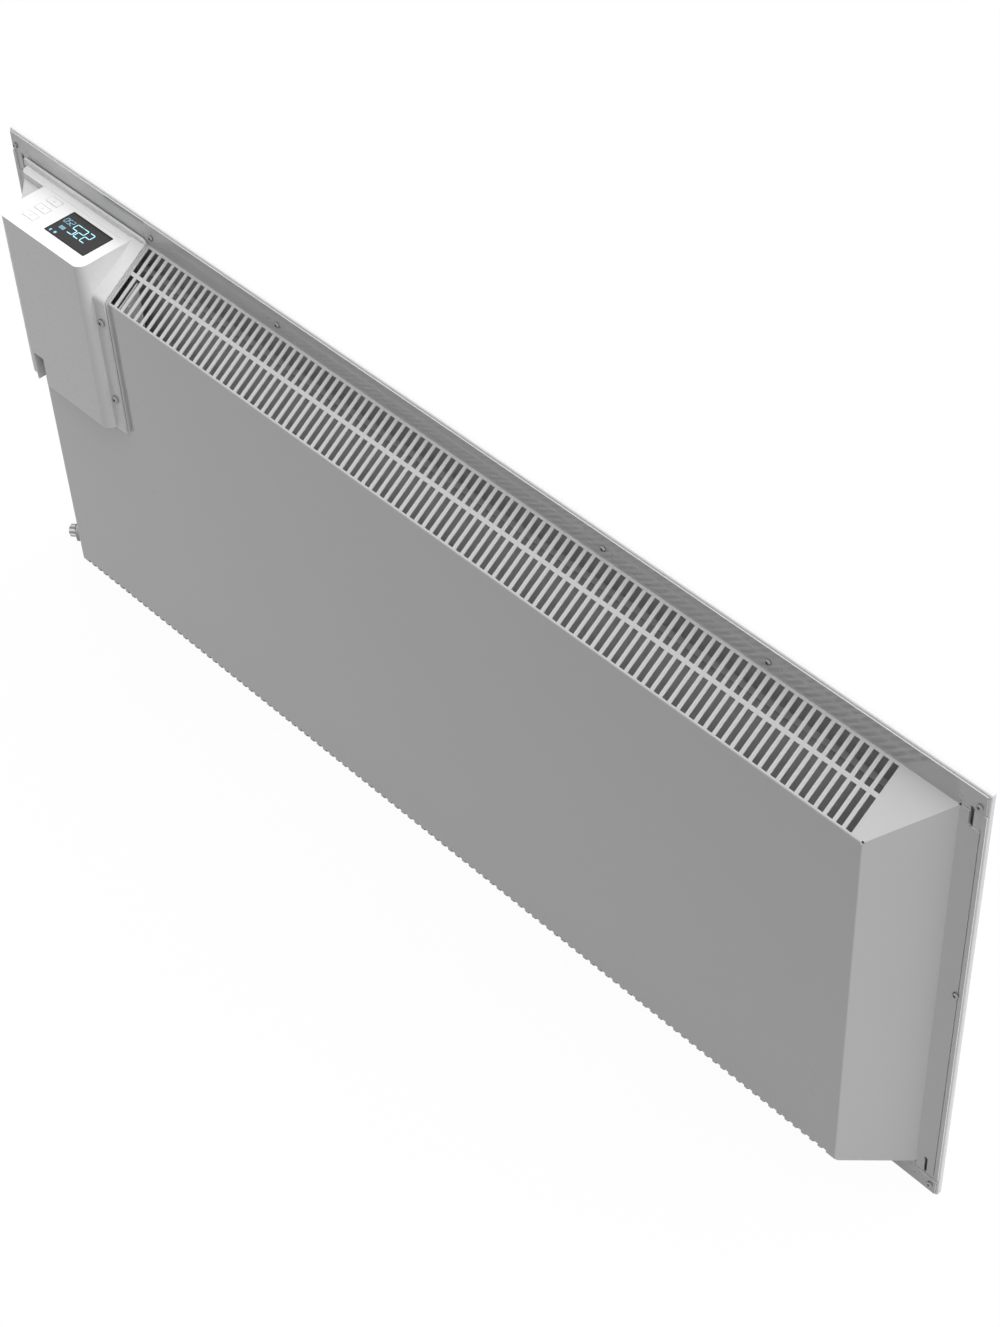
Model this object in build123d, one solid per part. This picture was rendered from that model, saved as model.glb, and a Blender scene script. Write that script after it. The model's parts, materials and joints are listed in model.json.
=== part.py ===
from build123d import *
import os
from math import atan2, ceil, cos, degrees, floor, hypot, pi, radians, sin

# Wall panel convector heater, seen as it hangs: +Z up, +Y towards the wall, +X to the thermostat end.
# The origin is on the casing's back face, half way up and half way along the panel. Millimetres.

# ---- front panel: a folded tray with thin returns, rear lips and side hems
panel_width = 848.0
panel_height = 370.0
panel_sheet = 1.0
panel_return = 5.2
panel_front_bend = 1.8
panel_rear_bend = 1.4
panel_corner_radius = 1.2
lip_top_width = 15.1
lip_bottom_width = 13.4
lip_side_width = 14.0
hem_width = 2.8
hem_end_inset = 17.0
hem_inset = 0.6
corner_slit = 0.6
corner_slit_drop = 2.6
corner_relief_radius = 0.7
hanger_slot_width = 2.5
hanger_slot_length = 16.6
hanger_slot_from_side = 10.6
hanger_slot_from_edge = 23.2

# ---- rear casing: one folded sheet with slanted faces, a screw flange and two rows of slots
casing_sheet = 0.8
casing_depth = 38.3
top_flange_width = 20.0
side_flange_width = 18.1
top_drop = 25.8
bottom_rise = 7.0
side_inset = 32.0
casing_bend = 0.7
flange_edge_inset = 1.5
joggle_height_top = 4.3
joggle_height_bottom = 6.4
joggle_step = 0.3
ear_inset = 1.5
inner_strip_inset = 11.8
inner_strip_ends = (7.4, 0.0)
outer_strip_inset = 4.0
outer_strip_ends = (-3.5, 11.0)
corner_hole_radius = 1.0

slot_pitch = 6.76
slot_width = 3.4
slot_from_cutout = 3.5
slot_from_side_bend = 10.0
upper_row_start = 1.5
upper_row_length = 18.0
lower_row_start = 22.3
lower_row_length = 22.4
inlet_slot_depth = 30.0
inlet_slot_rise = 2.0
inlet_margin = 8.0

# ---- screws and locating pips round the flange
screw_radius = 1.5
screw_head_radius = 3.0
screw_head_height = 2.0
screw_head_chamfer = 0.8
screw_length = 3.6
screw_hole_gap = 0.3
thread_gap = 0.05
top_screws_from_side = (280.3, 153.2, 5.5)
side_screw_from_side = 5.0
side_screw_z = 13.7
top_screw_drop = 11.4
bottom_screw_rise = 8.5
pip_offset = 8.3
pip_corner_offset = 12.8
pip_radius = 1.0
pip_height = 0.6
pip_gap = 0.2

# ---- front heat shield
shield_sheet = 0.6
shield_side_gap = 29.0
shield_end_gap = 37.0
shield_fold = 5.0
shield_relief = 2.0
shield_behind_flange = 1.4
standoff_radius = 4.0
standoff_inset = (65.0, 30.0)

# ---- heating element
element_far_gap = 63.9
element_near_gap = 48.5
element_above_crease = 67.0
element_in_from_back = 18.5
element_tube_radius = 6.5
element_web = 2.2
element_wing = 23.0
element_rib = 4.5
element_rib_pitch = 6.0
sheath_radius = 4.0
sheath_stub = 15.0
bore_gap = 0.15
insulator_radius = 6.0
insulator_length = 5.0
stud_radius = 2.0
stud_length = 9.0
bracket_sheet = 1.2
bracket_width = 34.0
bracket_foot = 16.0
bracket_gap = 1.5
bracket_corner = 5.0
bracket_margin = 4.0
bracket_rivet = (9.6, 10.2)
rivet_radius = 1.6
rivet_head_radius = 3.0
rivet_head_height = 1.0
rivet_gap = 0.1
limiter_radius = 8.0
limiter_height = 6.0
limiter_from_element_end = 112.0
limiter_above_element = 52.0
limiter_clip_length = 28.0
limiter_clip_width = 18.0
limiter_clip_stand = 8.4
earth_from_creases = (117.9, 37.0)
earth_length = 9.0
blade_width = 5.0
blade_length = 7.0
blade_thickness = 0.8

# ---- terminal partition
partition_sheet = 0.8
partition_from_cutout = 9.0
partition_depth = 19.0
partition_below_cutout = 57.5
partition_foot = 12.0
partition_foot_drop = 20.0
partition_rivets = (14.0, 90.0)
partition_slope_gap = 1.6
grommet_hole_radius = 3.0
grommet_flange = 1.4
grommet_from_back = 9.0
grommet_below_cutout = 7.5
partition_hole_below_slope = 6.5
partition_hole_radius = 2.5

# ---- leads
lead_radius = 1.1
lead_spacing = 7.0
lead_pair_gap = 0.6
lead_turn = 8.0
lead_from_partition = 8.0
lead_above_element = 20.0
lead_stud_run = 14.0
lead_slant_ends = (40.0, 70.0)
lead_sides = 6

# ---- thermostat housing and its base
cutout_from_creases = (130.4, 137.5)
base_gap = 0.4
base_proud = 1.2
base_wall = 2.8
base_rebate = 7.0
base_rebate_wall = 1.4
base_opening_inset = (3.2, 6.0)
base_opening_rise = 32.5
base_opening_from_flange = 5.5
plate_gap = 0.6
wing_wall = 1.2
housing_wall = 2.0
module_from_cutout = 12.3
module_from_crease = 28.9
module_back = 9.3
module_above_crease = 0.5
module_edge_radius = 7.0
lip_thickness = 2.0
lip_flange_gap = 0.8
lip_rise = 4.1
lip_below_crease = 6.0
lip_past_crease = 1.1
lip_corner_radius = 3.5
ledge_below_crease = 8.0
ledge_from_crease = 2.1
ledge_depth = 6.3
ledge_radius = 6.0
top_recess = 0.3
top_recess_margin = 3.2
top_recess_radius = 4.0
housing_step = 4.8
channel_cheek = 1.2
channel_from_side = 15.4
channel_radius = 5.3
channel_straight = 7.5
channel_height = 23.5
inlet_from_roof = 8.5
inlet_hole_radius = 3.8
inlet_bore_radius = 2.8
inlet_flange_radius = 4.9
inlet_flange = 1.2
thermostat_screw_from_cutout = 6.1
thermostat_screws_above_cutout = (28.3, 94.1)
thermostat_boss_length = 5.0
boss_wall = 2.0

# ---- display, keys and boards
display_length = 42.6
display_depth = 25.4
display_from_side = 30.7
display_from_lip = 21.4
window_thickness = 1.5
window_gap = 0.15
display_corner = 1.0
screen_margin = 1.4
key_length = 12.2
key_depth = 5.6
key_pitch = 9.9
keys_from_side = 19.1
key_gap = 0.3
key_corner = 1.0
key_flange = 0.7
key_proud = 0.1
key_travel = 0.8
key_stem_radius = 1.4
stem_gap = 0.2
switch_side = 6.0
switch_height = 3.0
switch_plunger_radius = 1.6
switch_plunger_height = 0.6
board_thickness = 1.6
board_end_gap = 6.6
control_board_depth = 36.0
board_drop = 7.4
board_post_radius = 2.2
board_post_inset = 3.0
power_board_size = (56.0, 76.0)
power_board_from_side = 35.2
power_board_above_cutout = 69.5
power_board_stand = 2.0
relay_size = (19.0, 10.0, 15.0)
relay_place = (-14.0, -9.0)
transformer_size = (28.0, 15.0, 24.0)
transformer_place = (9.0, 15.0)
winding_size = (17.0, 17.0, 20.0)
terminal_size = (30.0, 15.0, 13.0)
terminal_count = 3
terminal_well_radius = 3.0
terminal_well_depth = 3.0
sensor_radius = 2.0
sensor_length = 8.0
sensor_holder = 2.4
clamp_size = (17.0, 5.0, 8.0)
clamp_below_opening = 2.5

# ---- quarter turn lock on the slanted side
lock_from_flange = 24.0
lock_above_crease = 18.0
lock_shaft_radius = 3.0
lock_running_gap = 0.05
lock_bush_radius = 5.0
lock_bush_gap = 0.1
lock_bush_flange_radius = 7.2
lock_bush_flange = 1.5
lock_bush_inside = 5.0
lock_nut_height = 3.0
lock_nut_width = 14.0
lock_axial_gap = 0.3
cam_thickness = 5.8
cam_hub_radius = 5.0
cam_reach = 4.1
knob_radius = 5.0
knob_length = 5.9
knob_bevel = 1.6
knob_end_wall = 1.9
clip_thickness = 0.8
clip_radius = 5.0
spindle_past_clip = 1.2
spindle_end_gap = 0.1

# ---- what repeats many times has flat sided rounds, to keep the whole light
fastener_sides = 12
pip_sides = 8

# ---- worked out from the sizes above
flange_y = -casing_depth
lip_y = flange_y - casing_sheet
front_y = lip_y - panel_return
half_width = panel_width / 2
half_height = panel_height / 2
crease_x = half_width - side_flange_width
crease_z = half_height - top_flange_width
top_screw_xs = [half_width - inset for inset in top_screws_from_side]
side_screw_x = half_width - side_screw_from_side
cutout_x = crease_x - cutout_from_creases[0]
cutout_z = crease_z - cutout_from_creases[1]
first_slot_x = cutout_x - slot_from_cutout
partition_x = cutout_x - partition_from_cutout
partition_low_z = cutout_z - partition_below_cutout
grommet_z = cutout_z - grommet_below_cutout
element_ends = {-1: element_far_gap - crease_x, 1: partition_x - element_near_gap}
element_z = element_above_crease - crease_z
module_x = (cutout_x + module_from_cutout, crease_x - module_from_crease)
module_top_z = crease_z + module_above_crease
base_opening_x = (module_x[0] + base_opening_inset[0], module_x[1] - base_opening_inset[1])
base_opening_low_z = cutout_z + base_opening_rise
channel_x = module_x[1] - channel_from_side
thermostat_screw_x = cutout_x + thermostat_screw_from_cutout
thermostat_screw_zs = [cutout_z + rise for rise in thermostat_screws_above_cutout]
power_board_centre = (module_x[0] + power_board_from_side, cutout_z + power_board_above_cutout)
top_slope = top_drop / casing_depth
bottom_slope = bottom_rise / casing_depth
side_slope = side_inset / casing_depth
grille_angle = degrees(atan2(top_drop, casing_depth))
plate_a_lift = base_proud + plate_gap
wing_lift = plate_a_lift + wing_wall
element_y = -element_in_from_back
deck_z = module_top_z - top_recess
board_y = module_back - housing_wall - power_board_stand


# ---- helpers
def block(x0, x1, y0, y1, z0, z1):
    """Box between two limits on each axis."""
    centre = Pos((x0 + x1) / 2, (y0 + y1) / 2, (z0 + z1) / 2)
    return centre * Box(x1 - x0, y1 - y0, z1 - z0)


def slab(sketch, y0, y1):
    """Extrudes a sketch drawn in X and Z from y0 to y1."""
    return extrude(Plane.XZ.offset(-y1) * sketch, amount=y1 - y0)


def bar(sketch, x0, x1):
    """Extrudes a sketch drawn in Y and Z from x0 to x1."""
    return extrude(Plane.YZ.offset(x0) * sketch, amount=x1 - x0)


def column(sketch, z0, z1):
    """Extrudes a sketch drawn in X and Y from z0 to z1."""
    return extrude(Plane.XY.offset(z0) * sketch, amount=z1 - z0)


def pin(x, z, radius, y0, y1):
    """Cylinder along Y."""
    return slab(Pos(x, z) * Circle(radius), y0, y1)


def post(x, z, radius, y0, y1, sides=fastener_sides):
    """Flat sided pin along Y, for small rounds that repeat."""
    return slab(Pos(x, z) * RegularPolygon(radius, sides), y0, y1)


def save(shape, node):
    export_step(shape, f"parts/{node}.step")
    print(node, len(shape.solids()), "solids,", round(shape.volume), "mm3")


def group(shapes):
    """One node that holds several separate solids."""
    return Compound(children=[solid for shape in shapes for solid in shape.solids()])


def top_z(y, lift=0.0):
    """Height of the slanted top at depth y, moved outwards by lift."""
    return crease_z + lift * hypot(1, top_slope) - top_slope * (y - flange_y)


def bottom_z(y, lift=0.0):
    """Height of the slanted bottom at depth y, moved outwards by lift."""
    return -crease_z - lift * hypot(1, bottom_slope) + bottom_slope * (y - flange_y)


def side_x(y, lift=0.0):
    """Half width between the slanted sides at depth y, moved outwards by lift."""
    return crease_x + lift * hypot(1, side_slope) - side_slope * (y - flange_y)


def casing_form(lift, front, radius):
    """Solid inside the casing's slanted faces, moved outwards by lift.

    Its back bends are round, but for the notched one along the bottom, which is one flat.
    """
    elevation = Polygon(
        (front, bottom_z(front, lift)),
        (lift, bottom_z(lift, lift)),
        (lift, top_z(lift, lift)),
        (front, top_z(front, lift)),
        align=None,
    )
    beyond = lift + casing_depth / 2
    plan = Polygon(
        (side_x(front, lift), front - 1),
        (side_x(front, lift), front),
        (side_x(beyond, lift), beyond),
        (-side_x(beyond, lift), beyond),
        (-side_x(front, lift), front),
        (-side_x(front, lift), front - 1),
        align=None,
    )
    form = bar(elevation, -panel_width, panel_width) & column(plan, -panel_height, panel_height)
    back = form.faces().sort_by(Axis.Y)[-1]
    form = chamfer(back.edges().sort_by(Axis.Z)[0], radius)
    back = form.faces().sort_by(Axis.Y)[-1]
    return fillet(back.edges().sort_by(Axis.Z)[1:], radius)


def grown_bend(lift):
    """Bend radius of the face that lies lift outside the casing's outer face."""
    return casing_bend + casing_sheet + lift


# ---- where the perimeter screws and pips are
def screw_points():
    top = half_height - top_screw_drop
    low = -half_height + bottom_screw_rise
    rows = [(side * x, z) for z in (top, low) for x in top_screw_xs for side in (1, -1)]
    return rows + [(side_screw_x, side_screw_z), (-side_screw_x, side_screw_z)]


def pip_points():
    top = half_height - top_screw_drop
    low = -half_height + bottom_screw_rise
    inner = [x + pip_offset for x in top_screw_xs[:-1]]
    outer = [top_screw_xs[-1] - pip_corner_offset]
    return [(side * x, z) for z in (top, low) for x in inner + outer for side in (1, -1)]


def hanger_slot_points():
    x = half_width - hanger_slot_from_side
    z = half_height - hanger_slot_from_edge
    return [(i * x, j * z) for i in (1, -1) for j in (1, -1)]


def hanger_slots(y0, y1):
    """Cutters for the four upright hanging slots, from y0 to y1."""
    slot = Rot(0, 0, 90) * SlotOverall(hanger_slot_length, hanger_slot_width)
    return [slab(Pos(x, z) * slot, y0, y1) for x, z in hanger_slot_points()]


# ---- front panel
def tray_block():
    """Outer shape of the folded tray: soft front bends, tighter rear ones, close corners."""
    tray = block(-half_width, half_width, front_y, lip_y, -half_height, half_height)
    tray = fillet(tray.edges().filter_by(Axis.Y), panel_corner_radius)
    rear = tray.faces().sort_by(Axis.Y)[-1]
    tray = fillet(rear.edges().filter_by(Axis.X), panel_rear_bend)
    front = tray.faces().sort_by(Axis.Y)[0]
    return fillet(front.edges(), panel_front_bend)


def front_panel():
    panel = tray_block()
    inner_x, inner_z = half_width - panel_sheet, half_height - panel_sheet
    panel -= block(-inner_x, inner_x, front_y + panel_sheet, lip_y - panel_sheet, -inner_z, inner_z)
    mouth_x = half_width - lip_side_width
    mouth_low, mouth_high = lip_bottom_width - half_height, half_height - lip_top_width
    panel -= block(-mouth_x, mouth_x, lip_y - 2 * panel_sheet, lip_y, mouth_low, mouth_high)
    hem_x = half_width - hem_inset
    for side in (1, -1):
        inner, outer = sorted((side * (hem_x - hem_width), side * hem_x))
        end = half_height - hem_end_inset
        panel += block(inner, outer, lip_y, flange_y, -end, end)
    for x, z in pip_points():
        panel += post(x, z, pip_radius, lip_y, lip_y + pip_height, pip_sides)
    inner_y = front_y + panel_sheet
    cuts = [post(x, z, screw_radius + thread_gap, inner_y, flange_y) for x, z in screw_points()]
    cuts += hanger_slots(lip_y - 2 * panel_sheet, flange_y)
    slit_z = half_height - corner_slit_drop
    slit_front = front_y + panel_sheet
    for side in (1, -1):
        inner, outer = sorted((side * (inner_x - hem_width), side * (half_width + 1)))
        for end in (1, -1):
            low, high = sorted((end * slit_z, end * (slit_z - corner_slit)))
            cuts.append(block(inner, outer, slit_front, lip_y, low, high))
            relief = Cylinder(corner_relief_radius, 4 * panel_sheet, rotation=(0, 90, 0))
            cuts.append(Pos(side * half_width, slit_front, end * slit_z) * relief)
    return panel - cuts


# ---- rear casing
def joggle_bands():
    """Bands beside the two long creases, each as its low and high limit."""
    top = (crease_z, crease_z + joggle_height_top)
    bottom = (-crease_z - joggle_height_bottom, -crease_z)
    return top, bottom


def flange_outline():
    """Screw flange seen from behind: full width ears above and below, staggered side strips."""
    edge_z = half_height - flange_edge_inset
    ear_x = half_width - ear_inset
    outline = Rectangle(2 * crease_x, 2 * edge_z)
    (_, ear_low), (ear_high, _) = joggle_bands()
    for low, high in ((ear_low, edge_z), (-edge_z, ear_high)):
        outline += Pos(0, (low + high) / 2) * Rectangle(2 * ear_x, high - low)
    low, high = inner_strip_ends[0] - crease_z, crease_z - inner_strip_ends[1]
    inner_x, outer_x = half_width - inner_strip_inset, half_width - outer_strip_inset
    outline += Pos(0, (low + high) / 2) * Rectangle(2 * inner_x, high - low)
    low, high = outer_strip_ends[0] - crease_z, crease_z - outer_strip_ends[1]
    outer = Rectangle(2 * outer_x, high - low)
    outer = fillet(outer.vertices(), panel_rear_bend) - Rectangle(2 * inner_x, panel_height)
    return outline + Pos(0, (low + high) / 2) * outer


def joggle(casing):
    """Pressed step that brings the flange beside the crease level with the lips under it."""
    for low, high in joggle_bands():
        casing += block(-crease_x, crease_x, lip_y - joggle_step, lip_y, low, high)
        casing -= block(-crease_x, crease_x, flange_y - joggle_step, flange_y, low, high)
    return casing


def grille_cutters():
    """Two rows of square ended slots down the slanted top."""
    cutters = []
    count = floor((first_slot_x + side_x(0) - slot_from_side_bend) / slot_pitch) + 1
    rows = ((upper_row_start, upper_row_length), (lower_row_start, lower_row_length))
    for start, length in rows:
        along = start + length / 2
        y = flange_y + along * cos(radians(grille_angle))
        tool = Rot(-grille_angle, 0, 0) * Box(slot_width, length, 6 * casing_sheet)
        for i in range(count):
            cutters.append(Pos(first_slot_x - i * slot_pitch, y, top_z(y)) * tool)
    return cutters


def inlet_cutters():
    """Slots along the bottom that run out through the back bend in a row of notches."""
    reach = side_x(0) - inlet_margin
    count = floor(reach / slot_pitch)
    top = bottom_z(0) + inlet_slot_rise
    low = -crease_z - casing_sheet
    half = slot_width / 2
    tool = block(-half, half, -inlet_slot_depth, casing_sheet, low, top)
    return [Pos(i * slot_pitch, 0, 0) * tool for i in range(-count, count + 1)]


def corner_cutters():
    """Round reliefs where three folds meet."""
    cutters = []
    for side in (1, -1):
        for end in (1, -1):
            back_z = top_z(0) if end > 0 else bottom_z(0)
            for x, z, y in ((crease_x, end * crease_z, flange_y), (side_x(0), back_z, 0)):
                reach = 2 * casing_sheet
                cutters.append(post(side * x, z, corner_hole_radius, y - reach, y + reach, pip_sides))
    return cutters


def lock_plane():
    """Plane on the slanted side, centred on the lock, with its Z pointing outwards."""
    y = flange_y + lock_from_flange
    outwards = Vector(casing_depth, side_inset, 0).normalized()
    origin = (side_x(y), y, lock_above_crease - crease_z)
    return Plane(origin=origin, x_dir=(0, 0, 1), z_dir=outwards)


def rear_casing():
    casing = casing_form(0, lip_y, casing_bend + casing_sheet)
    casing += slab(flange_outline(), lip_y, flange_y)
    casing = joggle(casing)
    casing -= casing_form(-casing_sheet, front_y, casing_bend)
    casing -= block(cutout_x, half_width, flange_y, 2, cutout_z, panel_height)
    casing -= [post(x, z, screw_radius + screw_hole_gap, lip_y, flange_y) for x, z in screw_points()]
    casing -= [post(x, z, pip_radius + pip_gap, lip_y, flange_y, pip_sides) for x, z in pip_points()]
    casing -= hanger_slots(lip_y, flange_y)
    casing -= lock_plane() * Cylinder(lock_bush_radius, 6 * casing_sheet)
    casing -= [rivet_hole(x, z) for x, z in rivet_points()]
    casing -= corner_cutters()
    casing -= inlet_cutters()
    return casing - grille_cutters()


# ---- fasteners
def pan_screw(x, z, seat_y, length):
    """Pan head screw along Y whose head sits on seat_y."""
    head = post(x, z, screw_head_radius, seat_y, seat_y + screw_head_height)
    head = chamfer(head.faces().sort_by(Axis.Y)[-1].edges(), screw_head_chamfer)
    return head + post(x, z, screw_radius, seat_y - length, seat_y)


def perimeter_screws():
    return group([pan_screw(x, z, flange_y, screw_length) for x, z in screw_points()])


# ---- front heat shield
def front_heat_shield():
    y = flange_y + shield_behind_flange
    x, z = half_width - shield_side_gap, half_height - shield_end_gap
    shield = block(-x, x, y, y + shield_fold, -z, z)
    inner_x, inner_z = x - shield_sheet, z - shield_sheet
    shield -= block(-inner_x, inner_x, y + shield_sheet, y + shield_fold, -inner_z, inner_z)
    relief = Box(2 * shield_relief, 2 * shield_fold, 2 * shield_relief)
    corner_y = y + shield_sheet + shield_fold
    return shield - [Pos(i * x, corner_y, j * z) * relief for i in (1, -1) for j in (1, -1)]


def shield_standoffs():
    spread_x = half_width - shield_side_gap - standoff_inset[0]
    spread_z = half_height - shield_end_gap - standoff_inset[1]
    points = [(x, z) for x in (-spread_x, 0, spread_x) for z in (-spread_z, spread_z)]
    inner_y, seat_y = front_y + panel_sheet, flange_y + shield_behind_flange
    return group([post(x, z, standoff_radius, inner_y, seat_y) for x, z in points])


# ---- heating element
def element_profile():
    """Section of the extruded element: a bored tube with four ribbed diagonal wings."""
    wing = Pos(element_wing / 2, 0) * Rectangle(element_wing, element_web)
    rib = Rectangle(element_web * 0.6, 2 * element_rib)
    count = floor((element_wing - element_tube_radius) / element_rib_pitch)
    for i in range(1, count + 1):
        wing += Pos(element_tube_radius + i * element_rib_pitch, 0) * rib
    profile = Circle(element_tube_radius)
    for angle in (60, 120, 240, 300):
        profile += Rot(0, 0, angle) * wing
    return Pos(element_y, element_z) * (profile - Circle(sheath_radius + bore_gap))


def heating_element():
    return bar(element_profile(), element_ends[-1], element_ends[1])


def element_sheath():
    reach = sheath_stub
    section = Pos(element_y, element_z) * Circle(sheath_radius)
    return bar(section, element_ends[-1] - reach, element_ends[1] + reach)


def on_element_axis(section, start, length, side):
    """Extrudes a round section outwards from one end of the sheath."""
    first, last = sorted((start, start + side * length))
    return bar(Pos(element_y, element_z) * section, first, last)


def element_insulators():
    made = []
    for side in (1, -1):
        start = element_ends[side] + side * sheath_stub
        made.append(on_element_axis(Circle(insulator_radius), start, insulator_length, side))
    return group(made)


def element_terminals():
    start = sheath_stub + insulator_length
    return group([
        on_element_axis(Circle(stud_radius), element_ends[side] + side * start, stud_length, side)
        for side in (1, -1)
    ])


def bracket_x(side):
    return element_ends[side] + side * (bracket_gap + bracket_sheet / 2)


def element_bracket(side):
    """Sheet upright with a hole for the sheath and a foot on the casing's inner face."""
    x, seat_y = bracket_x(side), -casing_sheet
    reach = element_y - element_tube_radius - bracket_margin
    top, low = element_z + bracket_width / 2, element_z - bracket_width / 2
    web = block(x - bracket_sheet / 2, x + bracket_sheet / 2, reach, seat_y, low, top)
    web = chamfer(web.edges().filter_by(Axis.X).group_by(Axis.Y)[0], bracket_corner)
    hole = Circle(sheath_radius + bore_gap)
    web -= bar(Pos(element_y, element_z) * hole, x - bracket_sheet, x + bracket_sheet)
    near, far = sorted((x - side * bracket_sheet / 2, x + side * bracket_foot))
    web += block(near, far, seat_y - bracket_sheet, seat_y, low, top)
    return web - [rivet_hole(px, z) for px, z in rivet_points()]


def rivet_points():
    return [
        (bracket_x(side) + side * bracket_rivet[0], element_z + end * bracket_rivet[1])
        for side in (1, -1)
        for end in (1, -1)
    ] + [(partition_x - partition_foot / 2, partition_low_z + rise) for rise in partition_rivets]


def rivet_hole(x, z):
    return post(x, z, rivet_radius + rivet_gap, -4 * casing_sheet, casing_sheet)


def rivets():
    """Blind rivets that hold the brackets and the partition, with flush outer ends."""
    made = []
    for x, z in rivet_points():
        sheet = bracket_sheet if abs(z - element_z) < bracket_width else partition_sheet
        seat = -casing_sheet - sheet
        head = post(x, z, rivet_head_radius, seat - rivet_head_height, seat)
        made.append(post(x, z, rivet_radius, seat, 0) + head)
    return group(made)


def limiter_seat():
    """Middle of the safety cut-out, above the element on the thermostat's side."""
    return element_ends[1] - limiter_from_element_end, element_z + limiter_above_element


def cutout_clip():
    """Spring clip on the casing that carries the safety cut-out."""
    x, z = limiter_seat()
    back = -casing_sheet
    front = back - limiter_clip_stand
    reach, half = limiter_clip_length / 2, limiter_clip_width / 2
    foot = block(x - reach, x + reach, back - bracket_sheet, back, z - half, z + half)
    arm = block(x - reach, x - reach + bracket_sheet, front, back, z - half, z + half)
    seat = block(x - reach, x + reach, front, front + bracket_sheet, z - half, z + half)
    return foot + arm + seat


def thermal_cutout():
    """Disc type safety cut-out with two blades, resting on the clip's outer arm."""
    x, z = limiter_seat()
    seat = -casing_sheet - limiter_clip_stand
    front = seat - limiter_height
    can = pin(x, z, limiter_radius, front, seat)
    half = blade_width / 2
    for side in (1, -1):
        blade_x = x + side * limiter_radius / 2
        thin = blade_thickness / 2
        can += block(blade_x - thin, blade_x + thin, front - blade_length, front, z - half, z + half)
    return can


# ---- partition and leads
def grommet_y():
    return -casing_sheet - grommet_from_back


def terminal_partition():
    """Upright sheet between the heating space and the thermostat, with a foot on the back."""
    back = -casing_sheet
    front = back - partition_depth
    web = Polygon(
        (front, partition_low_z),
        (back, partition_low_z),
        (back, top_z(back, -casing_sheet - partition_slope_gap)),
        (front, top_z(front, -casing_sheet - partition_slope_gap)),
        align=None,
    )
    hole = RegularPolygon(grommet_hole_radius + grommet_flange, fastener_sides)
    web -= Pos(grommet_y(), grommet_z) * hole
    slope_z = top_z(grommet_y(), -casing_sheet)
    hole = RegularPolygon(partition_hole_radius, fastener_sides)
    web -= Pos(grommet_y(), slope_z - partition_hole_below_slope) * hole
    plate = bar(web, partition_x, partition_x + partition_sheet)
    foot_top = top_z(back, -casing_sheet - partition_slope_gap) - partition_foot_drop
    foot = block(
        partition_x - partition_foot, partition_x, back - partition_sheet, back, partition_low_z, foot_top
    )
    return plate + foot - [rivet_hole(x, z) for x, z in rivet_points()]


def lead_grommet():
    """Soft ring in the partition with a collar on each side of the sheet."""
    near, far = partition_x - grommet_flange, partition_x + partition_sheet + grommet_flange
    hole, neck, collar, beyond = [
        RegularPolygon(grommet_hole_radius + i * grommet_flange, fastener_sides) for i in range(4)
    ]
    ring = bar(collar - hole, near, far) - bar(beyond - neck, partition_x, partition_x + partition_sheet)
    return Pos(0, grommet_y(), grommet_z) * ring


def lead(points):
    """Insulated lead with a flat sided section, along straight runs joined by arcs."""
    path = FilletPolyline(*points, radius=lead_turn)
    start = Plane(origin=path @ 0, z_dir=path % 0)
    return sweep(start * RegularPolygon(lead_radius, lead_sides), path=path)


def element_leads():
    """Leads from the terminal block through the grommet to the element's near end and the cut-out."""
    x0, z0 = terminal_centre()
    low = z0 - terminal_size[2] / 2
    y = grommet_y()
    apart = lead_radius + lead_pair_gap / 2
    stud_x = element_ends[1] + sheath_stub + insulator_length + stud_length
    turn_x = partition_x - lead_from_partition
    to_element = [
        (x0 + lead_spacing, y, low),
        (x0 + lead_spacing, y, grommet_z - apart),
        (turn_x, y, grommet_z - apart),
        (turn_x, y, element_z + lead_above_element),
        (stud_x + lead_stud_run, element_y, element_z),
        (stud_x, element_y, element_z),
    ]
    disc_x, disc_z = limiter_seat()
    blade_x = disc_x + (limiter_radius + blade_thickness) / 2
    blade_y = -casing_sheet - limiter_clip_stand - limiter_height - blade_length / 2
    to_limiter = [
        (x0 - lead_spacing, y, low),
        (x0 - lead_spacing, y, grommet_z + apart),
        (disc_x + lead_slant_ends[1], y, grommet_z + apart),
        (disc_x + lead_slant_ends[0], blade_y, disc_z),
        (blade_x, blade_y, disc_z),
    ]
    return group([lead(to_element), lead(to_limiter)])


# ---- thermostat base
def cutout_region(gap, y0=flange_y):
    """Space of the casing's cut-out, less a gap, from the flange back."""
    return block(cutout_x + gap, half_width, y0 + gap, panel_height, cutout_z + gap, panel_height)


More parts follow.
